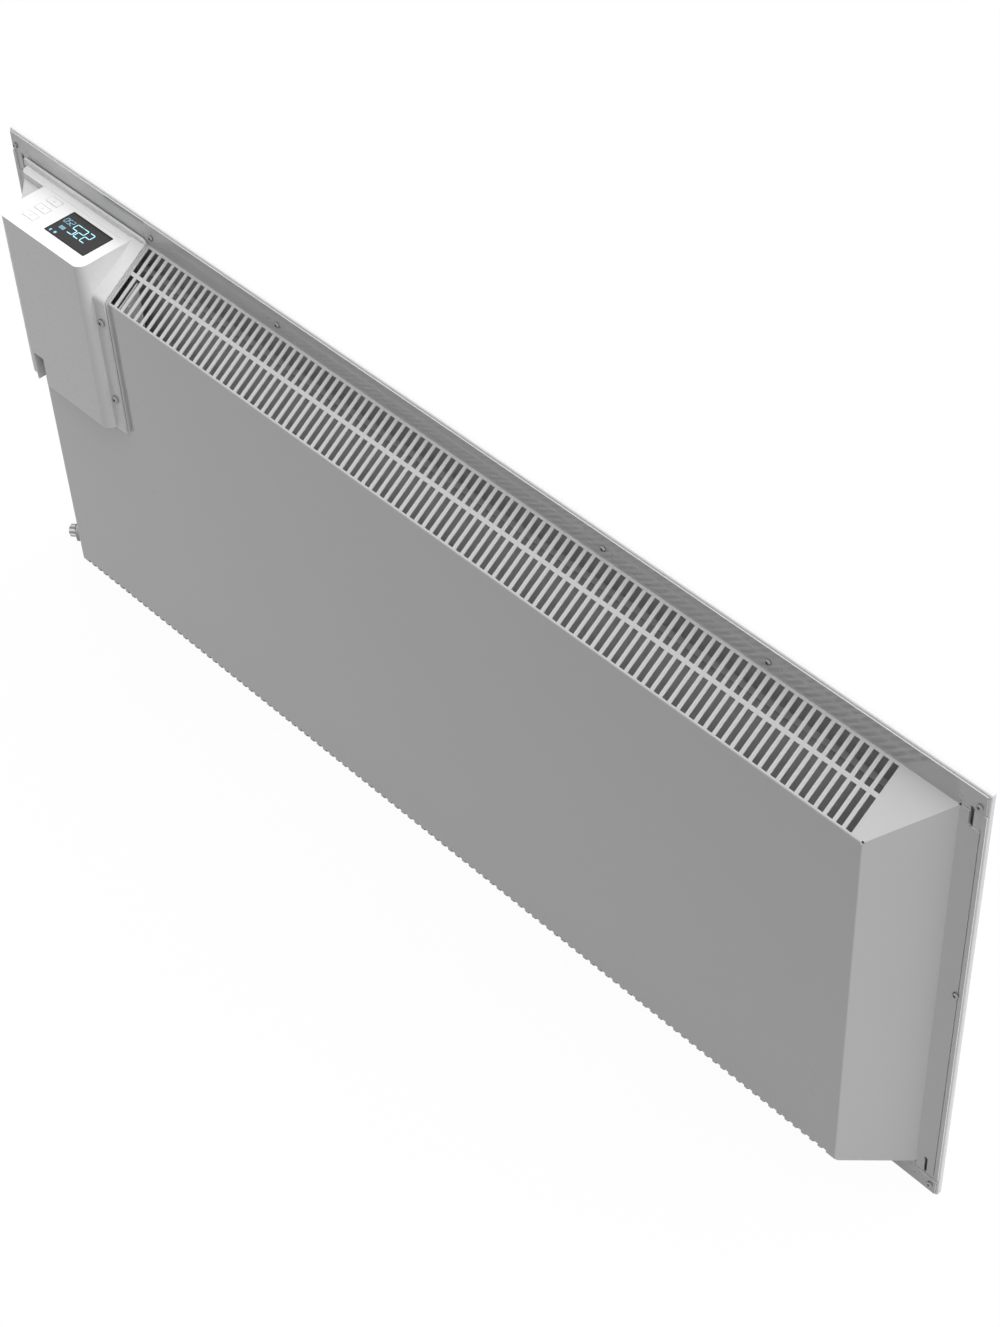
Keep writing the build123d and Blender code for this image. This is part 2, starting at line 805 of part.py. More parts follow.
def thermostat_base():
    """Moulded plate that fills the cut-out and stands a little proud of the casing."""
    base = casing_form(base_proud, lip_y, grown_bend(base_proud)) & cutout_region(base_gap)
    base -= casing_form(base_proud - base_wall, front_y, casing_bend)
    inner = casing_form(-casing_sheet, lip_y, casing_bend)
    inner -= casing_form(-casing_sheet - base_rebate_wall, front_y, casing_bend / 2)
    low_x, low_z = cutout_x - base_rebate, cutout_z - base_rebate
    lap = block(low_x, cutout_x + base_rebate, -base_rebate, 0, low_z, top_z(0, -base_rebate))
    lap += block(low_x, half_width, flange_y + base_rebate, 0, low_z, cutout_z + base_rebate)
    base += inner & lap
    x0, x1 = base_opening_x
    base -= block(
        x0, x1, flange_y + base_opening_from_flange, panel_height, base_opening_low_z, panel_height
    )
    back = base_proud - base_wall
    base -= pin(channel_x, inlet_z(), inlet_hole_radius, 2 * back, plate_a_lift)
    boss_end = back - thermostat_boss_length
    for z in thermostat_screw_zs:
        base += post(thermostat_screw_x, z, screw_radius + boss_wall, boss_end, plate_a_lift)
        base -= post(thermostat_screw_x, z, screw_radius + thread_gap, boss_end - 1, wing_lift)
    return base


# ---- thermostat housing
def lip_back_y():
    return flange_y + lip_flange_gap + lip_thickness


def channel_shape(grow):
    """Plan of the cable channel in the housing's back face, opened out by grow."""
    inner_y = module_back - channel_straight
    shape = Pos(channel_x, inner_y) * Circle(channel_radius + grow)
    reach = channel_straight + 2
    return shape + Pos(channel_x, inner_y + reach / 2) * Rectangle(2 * (channel_radius + grow), reach)


def module_block():
    """Outer shape of the box that holds the boards, with large soft back edges and a stepped corner."""
    x0, x1 = module_x
    box = block(x0, x1, lip_back_y(), module_back, cutout_z, module_top_z)
    upright = box.edges().filter_by(Axis.Z).group_by(Axis.Y)[-1]
    box = fillet(upright, module_edge_radius)
    cheek_x = channel_x + channel_radius + channel_cheek
    return box - block(cheek_x, x1 + 1, flange_y, module_back + 1, cutout_z - 1, cutout_z + housing_step)


def wing():
    """Narrow screw strip beside the box that follows the slanted top and the back."""
    shell = casing_form(wing_lift, lip_y, grown_bend(wing_lift))
    shell -= casing_form(plate_a_lift, front_y, grown_bend(plate_a_lift))
    near, far = cutout_x + base_gap, module_x[0] + housing_wall
    return shell & block(near, far, lip_back_y() - 1, panel_height, cutout_z, panel_height)


def housing_lip():
    """Upright lip along the flange, rounded at the end towards the grille."""
    y0 = flange_y + lip_flange_gap
    top, low = module_top_z + lip_rise, crease_z - lip_below_crease
    far = crease_x + lip_past_crease
    lip = block(cutout_x + base_gap, far, y0, y0 + lip_thickness, low, top)
    corner = lip.edges().filter_by(Axis.Y).group_by(Axis.Z)[-1].sort_by(Axis.X)[0]
    return fillet([corner], lip_corner_radius)


def housing_ledge():
    """Ledge behind the lip that runs on past the box to a rounded corner."""
    y0 = lip_back_y()
    near, far = module_x[1] - housing_wall, crease_x - ledge_from_crease
    low = crease_z - ledge_below_crease
    ledge = block(near, far, y0 - lip_thickness / 2, y0 + ledge_depth, low, module_top_z)
    corner = ledge.edges().filter_by(Axis.Z).group_by(Axis.Y)[-1].sort_by(Axis.X)[-1]
    return fillet([corner], ledge_radius)


def module_cavity():
    """Room inside the box, clear of the cable channel."""
    x0, x1 = module_x[0] + housing_wall, module_x[1] - housing_wall
    top = module_top_z - housing_wall
    room = block(x0, x1, lip_back_y(), module_back - housing_wall, cutout_z + housing_wall, top)
    upright = room.edges().filter_by(Axis.Z).group_by(Axis.Y)[-1]
    room = chamfer(upright, module_edge_radius - housing_wall)
    step_top = cutout_z + housing_step + housing_wall
    room -= block(channel_x, x1 + 1, flange_y, module_back, cutout_z, step_top)
    wall_top = cutout_z + channel_height + housing_wall
    return room - column(channel_shape(housing_wall), cutout_z, wall_top)


def display_centre():
    return module_x[0] + display_from_side, lip_back_y() + display_from_lip


def key_centres():
    x, y = display_centre()
    return [(module_x[1] - keys_from_side, y + i * key_pitch) for i in (-1, 0, 1)]


def rounded_plate(centre, length, depth, radius, z0, z1):
    x, y = centre
    return column(Pos(x, y) * RectangleRounded(length, depth, radius), z0, z1)


def control_board_z():
    """Height of the control board's upper face."""
    return module_top_z - board_drop


def control_board_centre():
    return (module_x[0] + module_x[1]) / 2, display_centre()[1]


def control_board_size():
    return module_x[1] - module_x[0] - 2 * board_end_gap, control_board_depth


def board_post_points():
    x, y = control_board_centre()
    length, depth = control_board_size()
    along, across = length / 2 - board_post_inset, depth / 2 - board_post_inset
    return [(x + i * along, y + j * across) for i in (1, -1) for j in (1, -1)]


def board_posts():
    low, high = control_board_z(), module_top_z - housing_wall
    section = RegularPolygon(board_post_radius, fastener_sides)
    return [column(Pos(x, y) * section, low, high) for x, y in board_post_points()]


def power_post_points():
    x, z = power_board_centre
    width, height = power_board_size
    return [(x + i * (width / 2 - 5), z + j * (height / 2 - 5)) for i in (1, -1) for j in (1, -1)]


def top_recess_cut():
    """Shallow step in the top round the window and keys, open at the far side and the back."""
    near_y = display_centre()[1] - display_depth / 2 - top_recess_margin
    recess = block(
        module_x[0] + top_recess_margin, module_x[1] + 1, near_y, module_back + 1,
        deck_z, module_top_z + 1,
    )
    corner = recess.edges().filter_by(Axis.Z).group_by(Axis.Y)[0].sort_by(Axis.X)[0]
    return fillet([corner], top_recess_radius)


def top_cuts():
    """Openings in the top for the window and keys, and the shallow recess round them."""
    top = module_top_z
    window = rounded_plate(
        display_centre(), display_length, display_depth, display_corner, top - 2 * housing_wall, top + 1
    )
    cuts = [top_recess_cut(), window]
    for centre in key_centres():
        cuts.append(rounded_plate(
            centre, key_length + 2 * key_gap, key_depth + 2 * key_gap, key_corner + key_gap,
            top - 2 * housing_wall, top + 1,
        ))
    return cuts


def thermostat_housing():
    box = module_block()
    box += housing_ledge()
    box += housing_lip()
    box -= casing_form(plate_a_lift, front_y, grown_bend(plate_a_lift))
    box += wing()
    box -= module_cavity()
    box -= column(channel_shape(0), cutout_z - 1, cutout_z + channel_height)
    box -= top_cuts()
    box += board_posts()
    inner_back = module_back - housing_wall
    box += [post(x, z, board_post_radius, board_y, inner_back) for x, z in power_post_points()]
    for z in thermostat_screw_zs:
        box -= post(thermostat_screw_x, z, screw_radius + screw_hole_gap, base_proud, wing_lift)
    return box


def thermostat_screws():
    return group([
        pan_screw(thermostat_screw_x, z, wing_lift, wing_lift + thermostat_boss_length)
        for z in thermostat_screw_zs
    ])


def inlet_z():
    return cutout_z + channel_height - inlet_from_roof


def cable_inlet_bush():
    """Soft bush for the mains lead, through the base at the head of the channel."""
    inner = base_proud - base_wall
    bush = pin(channel_x, inlet_z(), inlet_flange_radius, inner - inlet_flange, base_proud + inlet_flange)
    groove = slab(
        Pos(channel_x, inlet_z()) * (Circle(2 * inlet_flange_radius) - Circle(inlet_hole_radius)),
        inner, base_proud,
    )
    reach = 2 * inlet_flange
    return bush - groove - pin(channel_x, inlet_z(), inlet_bore_radius, inner - reach, base_proud + reach)


# ---- display, keys and boards
def display_window():
    return rounded_plate(
        display_centre(), display_length - 2 * window_gap, display_depth - 2 * window_gap,
        display_corner - window_gap, deck_z - window_thickness, deck_z,
    )


def display_module():
    size = (display_length - 2 * screen_margin, display_depth - 2 * screen_margin)
    return column(Pos(*display_centre()) * Rectangle(*size), control_board_z(), deck_z - window_thickness)


def key(index):
    """Flush key with a retaining flange under the top wall and a stem over its switch."""
    centre = key_centres()[index]
    under = module_top_z - housing_wall - key_gap
    cap = rounded_plate(centre, key_length, key_depth, key_corner, under - key_flange, deck_z + key_proud)
    x, y = centre
    around = 2 * key_flange + key_gap
    flange = Pos(x, y) * Rectangle(key_length + around, key_depth + around)
    cap += column(flange, under - key_flange, under)
    stem_low = control_board_z() + switch_height + key_travel + stem_gap
    return cap + column(Pos(x, y) * RegularPolygon(key_stem_radius, fastener_sides), stem_low, under)


def key_switches():
    made = []
    low = control_board_z()
    for x, y in key_centres():
        body_top = low + switch_height - switch_plunger_height
        switch = column(Pos(x, y) * Rectangle(switch_side, switch_side), low, body_top)
        plunger = RegularPolygon(switch_plunger_radius, fastener_sides)
        made.append(switch + column(Pos(x, y) * plunger, body_top, low + switch_height))
    return group(made)


def control_board():
    high = control_board_z()
    length, depth = control_board_size()
    return column(Pos(*control_board_centre()) * Rectangle(length, depth), high - board_thickness, high)


def power_board():
    x, z = power_board_centre
    width, height = power_board_size
    return slab(Pos(x, z) * Rectangle(width, height), board_y - board_thickness, board_y)


def on_power_board(centre, size):
    """Component body on the board's inner side."""
    x, z = centre
    width, depth, height = size
    seat = board_y - board_thickness
    return block(x - width / 2, x + width / 2, seat - depth, seat, z - height / 2, z + height / 2)


def terminal_centre():
    x, z = power_board_centre
    return x, z - power_board_size[1] / 2 + terminal_size[2] / 2 + 2


def relay():
    x, z = power_board_centre
    right, up = relay_place
    return on_power_board((x + right, z + up), relay_size)


def transformer():
    x, z = power_board_centre
    right, up = transformer_place
    core = on_power_board((x + right, z + up), transformer_size)
    return core + on_power_board((x + right, z + up), winding_size)


def terminal_block():
    """Row of screw terminals with a well for each screw in front."""
    x, z = terminal_centre()
    body = on_power_board((x, z), terminal_size)
    front = board_y - board_thickness - terminal_size[1]
    pitch = terminal_size[0] / terminal_count
    for i in range(terminal_count):
        px = x + (i - (terminal_count - 1) / 2) * pitch
        body -= post(px, z, terminal_well_radius, front, front + terminal_well_depth)
    return body


def temperature_sensor():
    """Bead in a small clip just above the housing's bottom wall."""
    x, y = module_x[0] + 16, (plate_a_lift + module_back - housing_wall) / 2
    z = cutout_z + housing_wall + sensor_radius + 1
    bead = bar(Pos(y, z) * Circle(sensor_radius), x - sensor_length / 2, x + sensor_length / 2)
    holder = block(x - 2, x + 2, y - sensor_holder, y + sensor_holder, cutout_z + housing_wall, z)
    return holder + bead


def cable_clamp():
    """Clamp bar for the mains lead on the housing's inner back."""
    width, depth, height = clamp_size
    inner = base_proud - base_wall
    z = base_opening_low_z - clamp_below_opening - height
    bar_piece = block(channel_x - width / 2, channel_x + width / 2, inner - depth, inner, z, z + height)
    groove = column(Pos(channel_x, inner) * Circle(inlet_bore_radius), z - 1, z + height + 1)
    return bar_piece - groove


def earth_screw():
    """Earth stud on the casing's inner face with its nut."""
    x, z = crease_x - earth_from_creases[0], earth_from_creases[1] - crease_z
    seat = -casing_sheet
    stud = pin(x, z, stud_radius, seat - earth_length, seat)
    return stud + pin(x, z, 2 * stud_radius, seat - 1.5 * stud_radius, seat)


# ---- quarter turn lock
def lock_stack():
    """Heights above the slanted side where each piece of the lock starts."""
    cam = lock_bush_flange + lock_axial_gap
    knob = cam + cam_thickness
    return cam, knob, knob + knob_length


def lock_bush():
    radius = lock_bush_radius - lock_bush_gap
    bush = Cylinder(radius, lock_bush_inside, align=(Align.CENTER, Align.CENTER, Align.MAX))
    bush += Cylinder(
        lock_bush_flange_radius, lock_bush_flange, align=(Align.CENTER, Align.CENTER, Align.MIN)
    )
    bush -= Cylinder(lock_shaft_radius + lock_running_gap, 4 * lock_bush_inside)
    return lock_plane() * bush


def lock_nut():
    nut = extrude(RegularPolygon(lock_nut_width / 2, 6), amount=-lock_nut_height)
    nut -= Cylinder(lock_bush_radius, 4 * lock_nut_height)
    return lock_plane() * Pos(0, 0, -casing_sheet) * nut


def lock_spindle():
    cam, knob, end = lock_stack()
    inside = lock_bush_inside + lock_axial_gap + clip_thickness + spindle_past_clip
    length = inside + end - knob_end_wall - spindle_end_gap
    shaft = Cylinder(lock_shaft_radius, length, align=(Align.CENTER, Align.CENTER, Align.MIN))
    return lock_plane() * Pos(0, 0, -inside) * shaft


def lock_clip():
    low = -lock_bush_inside - lock_axial_gap
    ring = Circle(clip_radius) - Circle(lock_shaft_radius + lock_running_gap)
    ring -= Pos(clip_radius, 0) * Rectangle(clip_radius, 2)
    return lock_plane() * Pos(0, 0, low) * extrude(ring, amount=-clip_thickness)


def lock_cam():
    """Rounded lug on the spindle that hangs down at rest and swings behind the bracket's hook."""
    cam, knob, end = lock_stack()
    shape = Circle(cam_hub_radius)
    shape += Pos(-cam_reach / 2, 0) * Rectangle(cam_reach, 2 * cam_hub_radius)
    shape += Pos(-cam_reach, 0) * Circle(cam_hub_radius)
    shape -= Circle(lock_shaft_radius + lock_running_gap)
    return lock_plane() * Pos(0, 0, cam) * extrude(shape, amount=cam_thickness)


def lock_knob():
    """Plain round knob with a bevelled end, bored for the spindle."""
    cam, knob, end = lock_stack()
    body = Cylinder(knob_radius, knob_length, align=(Align.CENTER, Align.CENTER, Align.MIN))
    body = chamfer(body.faces().sort_by(Axis.Z)[-1].edges(), knob_bevel)
    body -= Cylinder(lock_shaft_radius + lock_running_gap, 2 * (knob_length - knob_end_wall))
    return lock_plane() * Pos(0, 0, knob) * body


# ---- build
os.makedirs("parts", exist_ok=True)
save(front_panel(), "front_panel")
save(rear_casing(), "rear_casing")
save(perimeter_screws(), "perimeter_screws")
save(front_heat_shield(), "front_heat_shield")
save(shield_standoffs(), "shield_standoffs")
save(heating_element(), "heating_element")
save(element_sheath(), "element_sheath")
save(element_insulators(), "element_insulators")
save(element_terminals(), "element_terminals")
save(group([element_bracket(side) for side in (1, -1)]), "element_brackets")
save(rivets(), "rivets")
save(cutout_clip(), "cutout_clip")
save(thermal_cutout(), "thermal_cutout")
save(terminal_partition(), "terminal_partition")
save(lead_grommet(), "lead_grommet")
save(element_leads(), "element_leads")
save(earth_screw(), "earth_screw")
save(thermostat_base(), "thermostat_base")
save(thermostat_housing(), "thermostat_housing")
save(thermostat_screws(), "thermostat_screws")
save(cable_inlet_bush(), "cable_inlet_bush")
save(cable_clamp(), "cable_clamp")
save(display_window(), "display_window")
save(display_module(), "display_module")
save(control_board(), "control_board")
save(key_switches(), "key_switches")
for number in range(3):
    save(key(number), f"key_{number + 1}")
save(power_board(), "power_board")
save(relay(), "relay")
save(transformer(), "transformer")
save(terminal_block(), "terminal_block")
save(temperature_sensor(), "temperature_sensor")
save(lock_bush(), "lock_bush")
save(lock_nut(), "lock_nut")
save(lock_spindle(), "lock_spindle")
save(lock_clip(), "lock_clip")
save(lock_cam(), "lock_cam")
save(lock_knob(), "lock_knob")
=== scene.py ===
import json
import math

import bmesh
import bpy
from mathutils import Matrix, Vector


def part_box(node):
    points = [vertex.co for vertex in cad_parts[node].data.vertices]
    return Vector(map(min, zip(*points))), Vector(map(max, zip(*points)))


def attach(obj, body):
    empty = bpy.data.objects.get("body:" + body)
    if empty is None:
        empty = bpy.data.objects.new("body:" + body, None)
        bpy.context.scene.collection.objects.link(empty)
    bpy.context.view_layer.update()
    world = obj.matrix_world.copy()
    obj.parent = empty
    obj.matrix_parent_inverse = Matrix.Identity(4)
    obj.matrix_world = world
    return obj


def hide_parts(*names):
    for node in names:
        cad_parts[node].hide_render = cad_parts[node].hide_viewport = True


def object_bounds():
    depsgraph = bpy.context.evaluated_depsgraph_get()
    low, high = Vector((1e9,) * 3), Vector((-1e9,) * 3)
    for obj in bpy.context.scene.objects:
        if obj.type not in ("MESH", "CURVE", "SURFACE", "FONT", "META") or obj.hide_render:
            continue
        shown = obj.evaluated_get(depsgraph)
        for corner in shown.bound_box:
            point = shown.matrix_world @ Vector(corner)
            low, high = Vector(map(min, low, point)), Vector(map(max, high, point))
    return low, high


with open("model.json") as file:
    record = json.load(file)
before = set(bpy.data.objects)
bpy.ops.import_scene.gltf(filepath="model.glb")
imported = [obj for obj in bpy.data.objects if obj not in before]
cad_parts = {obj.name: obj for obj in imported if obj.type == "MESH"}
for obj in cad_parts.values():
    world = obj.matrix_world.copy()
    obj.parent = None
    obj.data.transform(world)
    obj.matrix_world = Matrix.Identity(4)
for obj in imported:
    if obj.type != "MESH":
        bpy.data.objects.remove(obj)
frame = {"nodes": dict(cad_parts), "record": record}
cad_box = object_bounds()
nodes = frame["nodes"]

MM = 0.001

# ---------------------------------------------------------------- materials
DRIFT_NOISE = (4.0, 0.55)      # detail and roughness of the slow colour drift
GRAIN_NOISE = (3.0, 0.6)       # and of the fine grain
RAMP_ENDS = (0.3, 0.7)         # noise levels where a colour is at its darkest and at its lightest
LIT_GRAIN = 1500.0
LIT_DIMMEST = 0.93             # share of a lit colour that is left where it is darkest
LIT_ROUGH = 0.4


def new_material(name):
    """Empty node material with one Principled shader."""
    m = bpy.data.materials.new(name)
    m.use_nodes = True
    tree = m.node_tree
    tree.nodes.clear()
    out = tree.nodes.new("ShaderNodeOutputMaterial")
    shader = tree.nodes.new("ShaderNodeBsdfPrincipled")
    tree.links.new(shader.outputs["BSDF"], out.inputs["Surface"])
    return m, tree, shader


def object_coords(tree, scale=(1, 1, 1)):
    """The point's place on its object in metres, stretched by scale."""
    coords = tree.nodes.new("ShaderNodeTexCoord")
    mapping = tree.nodes.new("ShaderNodeMapping")
    mapping.inputs["Scale"].default_value = scale
    tree.links.new(coords.outputs["Object"], mapping.inputs["Vector"])
    return mapping.outputs["Vector"]


def noise(tree, vector, scale, detail=2.0, rough=0.5):
    n = tree.nodes.new("ShaderNodeTexNoise")
    n.inputs["Scale"].default_value = scale
    n.inputs["Detail"].default_value = detail
    n.inputs["Roughness"].default_value = rough
    tree.links.new(vector, n.inputs["Vector"])
    return n.outputs["Fac"]


def ramp(tree, fac, dark, light):
    """Colour that goes from dark to light between the two noise levels."""
    r = tree.nodes.new("ShaderNodeValToRGB")
    for element, position, colour in zip(r.color_ramp.elements, RAMP_ENDS, (dark, light)):
        element.position = position
        element.color = tuple(colour) + (1,)
    tree.links.new(fac, r.inputs["Fac"])
    return r.outputs["Color"]


def span(tree, fac, low, high):
    """A factor from 0 to 1, spread over low to high."""
    m = tree.nodes.new("ShaderNodeMapRange")
    m.inputs["To Min"].default_value = low
    m.inputs["To Max"].default_value = high
    tree.links.new(fac, m.inputs["Value"])
    return m.outputs["Result"]


def bump(tree, height, distance, strength):
    b = tree.nodes.new("ShaderNodeBump")
    b.inputs["Distance"].default_value = distance
    b.inputs["Strength"].default_value = strength
    tree.links.new(height, b.inputs["Height"])
    return b.outputs["Normal"]


def tinted(v, tint):
    return (v * tint[0], v * tint[1], v * tint[2])


def surface(name, base, low_rough, high_rough, metallic=0.0, variation=0.03, variation_scale=9.0,
            grain=900.0, grain_height=0.00003, grain_strength=0.25, stretch=(1, 1, 1),
            tint=(1, 1, 1), specular=0.5, coat=0.0, coat_rough=0.15):
    """One finish: slow colour drift, fine grain in the bump and a roughness that wanders a little."""
    m, tree, shader = new_material(name)
    plain = object_coords(tree)
    stretched = object_coords(tree, stretch)
    slow = noise(tree, plain, variation_scale, *DRIFT_NOISE)
    light, dark = base * (1 + variation), base * (1 - variation)
    tree.links.new(ramp(tree, slow, tinted(dark, tint), tinted(light, tint)), shader.inputs["Base Color"])
    fine = noise(tree, stretched, grain, *GRAIN_NOISE)
    tree.links.new(span(tree, fine, low_rough, high_rough), shader.inputs["Roughness"])
    tree.links.new(bump(tree, fine, grain_height, grain_strength), shader.inputs["Normal"])
    shader.inputs["Metallic"].default_value = metallic
    shader.inputs["Specular IOR Level"].default_value = specular
    shader.inputs["Coat Weight"].default_value = coat
    shader.inputs["Coat Roughness"].default_value = coat_rough
    return m


def lit(name, colour, strength):
    """Finish of a display mark that glows by itself."""
    m, tree, shader = new_material(name)
    fine = noise(tree, object_coords(tree), LIT_GRAIN)
    shade = ramp(tree, fine, [c * LIT_DIMMEST for c in colour], colour)
    tree.links.new(shade, shader.inputs["Base Color"])
    tree.links.new(shade, shader.inputs["Emission Color"])
    shader.inputs["Emission Strength"].default_value = strength
    shader.inputs["Roughness"].default_value = LIT_ROUGH
    return m


def paint_shade_along(material, along, start, end, share):
    """Paints shade into a finish: darkens it from start to end along one object axis."""
    tree = material.node_tree
    shader = next(n for n in tree.nodes if n.type == "BSDF_PRINCIPLED")
    colour = shader.inputs["Base Color"].links[0].from_socket
    axes = tree.nodes.new("ShaderNodeSeparateXYZ")
    tree.links.new(object_coords(tree), axes.inputs[0])
    painted_shade = tree.nodes.new("ShaderNodeMapRange")
    painted_shade.inputs["From Min"].default_value = start
    painted_shade.inputs["From Max"].default_value = end
    painted_shade.inputs["To Min"].default_value = 1.0
    painted_shade.inputs["To Max"].default_value = share
    tree.links.new(axes.outputs[along], painted_shade.inputs["Value"])
    mixed = tree.nodes.new("ShaderNodeMix")
    mixed.data_type = "RGBA"
    mixed.blend_type = "MULTIPLY"
    factor, first, second, result = mixed.inputs[0], mixed.inputs[6], mixed.inputs[7], mixed.outputs[2]
    factor.default_value = 1.0
    tree.links.new(colour, first)
    tree.links.new(painted_shade.outputs["Result"], second)
    tree.links.new(result, shader.inputs["Base Color"])


PANEL_PAINT = surface("panel_paint", 0.76, 0.08, 0.14, variation=0.006, variation_scale=5.0,
                      grain=520.0, grain_height=0.00001, grain_strength=0.05, coat=0.4, coat_rough=0.05)
CASING_PAINT = surface("casing_paint", 0.70, 0.07, 0.12, variation=0.008, variation_scale=5.0,
                       grain=520.0, grain_height=0.00001, grain_strength=0.05, coat=0.4, coat_rough=0.04)
PLASTIC = surface("white_plastic", 0.88, 0.22, 0.32, variation=0.005, variation_scale=14.0,
                  grain=2400.0, grain_height=0.00002, grain_strength=0.07, coat=0.4, coat_rough=0.12)
KEY_PLASTIC = surface("key_plastic", 0.87, 0.30, 0.42, variation=0.006, grain=2400.0, grain_strength=0.2)
GALVANISED = surface("galvanised_sheet", 0.66, 0.32, 0.5, metallic=1.0, variation=0.12, variation_scale=60.0,
                     grain=300.0, grain_height=0.00003, grain_strength=0.2, tint=(0.97, 1.0, 1.03))
# pale non-metal colour in place of galvanised sheet: partly a white painted shield, partly painted light
# inside the casing
SHIELD = surface("shield_sheet_lit_and_shaded", 0.88, 0.30, 0.42, variation=0.02, variation_scale=40.0,
                 grain=300.0, grain_height=0.00001, grain_strength=0.1)
# pale non-metal colour in place of galvanised sheet: painted light on the partition in the casing's shade
PARTITION_LIT = surface("partition_sheet_lit", 0.93, 0.30, 0.42, variation=0.03, variation_scale=40.0)
STEEL = surface("screw_steel", 0.30, 0.10, 0.22, metallic=1.0, variation=0.06, variation_scale=500.0,
                grain=2500.0, grain_height=0.00002, grain_strength=0.3)
# darker copy of the screw steel for the cross recesses: painted shade
RECESS_SHADE = surface("screw_recess_shade", 0.08, 0.3, 0.5, metallic=1.0, variation=0.1, variation_scale=800.0,
                 grain=2500.0)
ALUMINIUM = surface("element_aluminium", 0.74, 0.34, 0.5, metallic=1.0, variation=0.05, variation_scale=40.0,
                    grain=700.0, grain_height=0.00003, grain_strength=0.3, stretch=(0.02, 1, 1))
SHEATH = surface("sheath_steel", 0.30, 0.3, 0.5, metallic=1.0, variation=0.1, variation_scale=80.0,
                 grain=900.0, stretch=(0.05, 1, 1), tint=(1.0, 0.96, 0.9))
CERAMIC = surface("ceramic", 0.66, 0.25, 0.4, variation=0.03, grain=900.0, tint=(1.0, 0.97, 0.9))
RUBBER = surface("black_rubber", 0.022, 0.5, 0.68, variation=0.1, grain=1600.0, grain_strength=0.4)
LEAD = surface("lead_insulation", 0.58, 0.55, 0.75, variation=0.06, variation_scale=300.0, grain=1800.0,
               grain_height=0.0001, grain_strength=0.5, tint=(1.0, 0.97, 0.9))
MARK_GREY = surface("mark_grey", 0.50, 0.4, 0.5, variation=0.03, grain=2200.0)
# paler than the grey plastic of the parts: painted light on the lock's bush and cam in the shade at the
# casing
COLLAR_PLASTIC_LIT = surface("collar_plastic_lit", 0.74, 0.35, 0.5, variation=0.03, variation_scale=60.0,
                         grain=2200.0, grain_strength=0.3)
GREY_PLASTIC = surface("grey_plastic", 0.24, 0.35, 0.5, variation=0.03, variation_scale=60.0,
                       grain=2200.0, grain_strength=0.3)
BLACK_PLASTIC = surface("black_plastic", 0.02, 0.3, 0.45, variation=0.08, grain=2200.0)
BOARD = surface("board_green", 0.10, 0.28, 0.4, variation=0.12, variation_scale=200.0, grain=1200.0,
                tint=(0.3, 1.0, 0.5))
DISPLAY_BODY = surface("display_body", 0.03, 0.3, 0.4, variation=0.05, grain=1800.0)
WINDOW = surface("smoked_window", 0.030, 0.10, 0.16, variation=0.02, variation_scale=90.0, grain=1200.0,
                 grain_height=0.000005, grain_strength=0.05, specular=0.25)
WINDOW_EDGE = surface("window_edge", 0.008, 0.2, 0.3, variation=0.05, grain=1200.0, specular=0.3)
CHROME = surface("chrome_knob", 0.62, 0.05, 0.12, metallic=1.0, variation=0.03, variation_scale=120.0,
                 grain=1500.0, grain_height=0.00001, grain_strength=0.15)
# darker copy of the knob's chrome for the flutes' grooves: painted shade
CHROME_GROOVE_SHADE = surface("chrome_groove_shade", 0.26, 0.14, 0.26, metallic=1.0, variation=0.05,
                        variation_scale=120.0, grain=1500.0, grain_height=0.00001, grain_strength=0.15)
DIGIT_LIGHT = lit("digit_light", (0.36, 0.72, 0.86), 0.75)
SMALL_LIGHT = lit("small_light", (0.20, 0.42, 0.56), 0.7)

FINISH = {
    "front_panel": PANEL_PAINT, "rear_casing": CASING_PAINT, "perimeter_screws": STEEL,
    "front_heat_shield": SHIELD, "shield_standoffs": GREY_PLASTIC, "heating_element": ALUMINIUM,
    "element_sheath": SHEATH, "element_insulators": CERAMIC, "element_terminals": STEEL,
    "element_brackets": GALVANISED, "rivets": CASING_PAINT, "cutout_clip": GALVANISED,
    "thermal_cutout": SHEATH, "terminal_partition": PARTITION_LIT, "lead_grommet": RUBBER,
    "element_leads": LEAD, "earth_screw": STEEL, "thermostat_base": PLASTIC, "thermostat_housing": PLASTIC,
    "thermostat_screws": STEEL, "cable_inlet_bush": RUBBER, "cable_clamp": GREY_PLASTIC,
    "display_window": WINDOW, "display_module": DISPLAY_BODY, "control_board": BOARD,
    "key_switches": BLACK_PLASTIC, "key_1": KEY_PLASTIC, "key_2": KEY_PLASTIC, "key_3": KEY_PLASTIC,
    "power_board": BOARD, "relay": BLACK_PLASTIC, "transformer": BLACK_PLASTIC,
    "terminal_block": GREY_PLASTIC, "temperature_sensor": CERAMIC, "lock_bush": COLLAR_PLASTIC_LIT,
    "lock_nut": STEEL, "lock_spindle": STEEL, "lock_clip": STEEL, "lock_cam": COLLAR_PLASTIC_LIT,
    "lock_knob": CHROME,
}

SHIELD_SHADE_DEPTHS = (3.5 * MM, 1.5 * MM)   # painted shade: the shield darkens between these depths below its upper edge
SHIELD_SHADE_SHARE = 0.42              # share of its colour that the painted shade leaves there

shield_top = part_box("front_heat_shield")[1].z
# painted shade along the shield's upper edge inside the casing
paint_shade_along(SHIELD, "Z", shield_top - SHIELD_SHADE_DEPTHS[0], shield_top - SHIELD_SHADE_DEPTHS[1], SHIELD_SHADE_SHARE)
for name, obj in nodes.items():
    if not obj.material_slots:
        obj.data.materials.append(FINISH[name])
    for material_slot in obj.material_slots:
        material_slot.material = FINISH[name]


# ---------------------------------------------------------------- mesh pieces
def linked_object(name, data):
    obj = bpy.data.objects.new(name, data)
    bpy.context.scene.collection.objects.link(obj)
    return obj


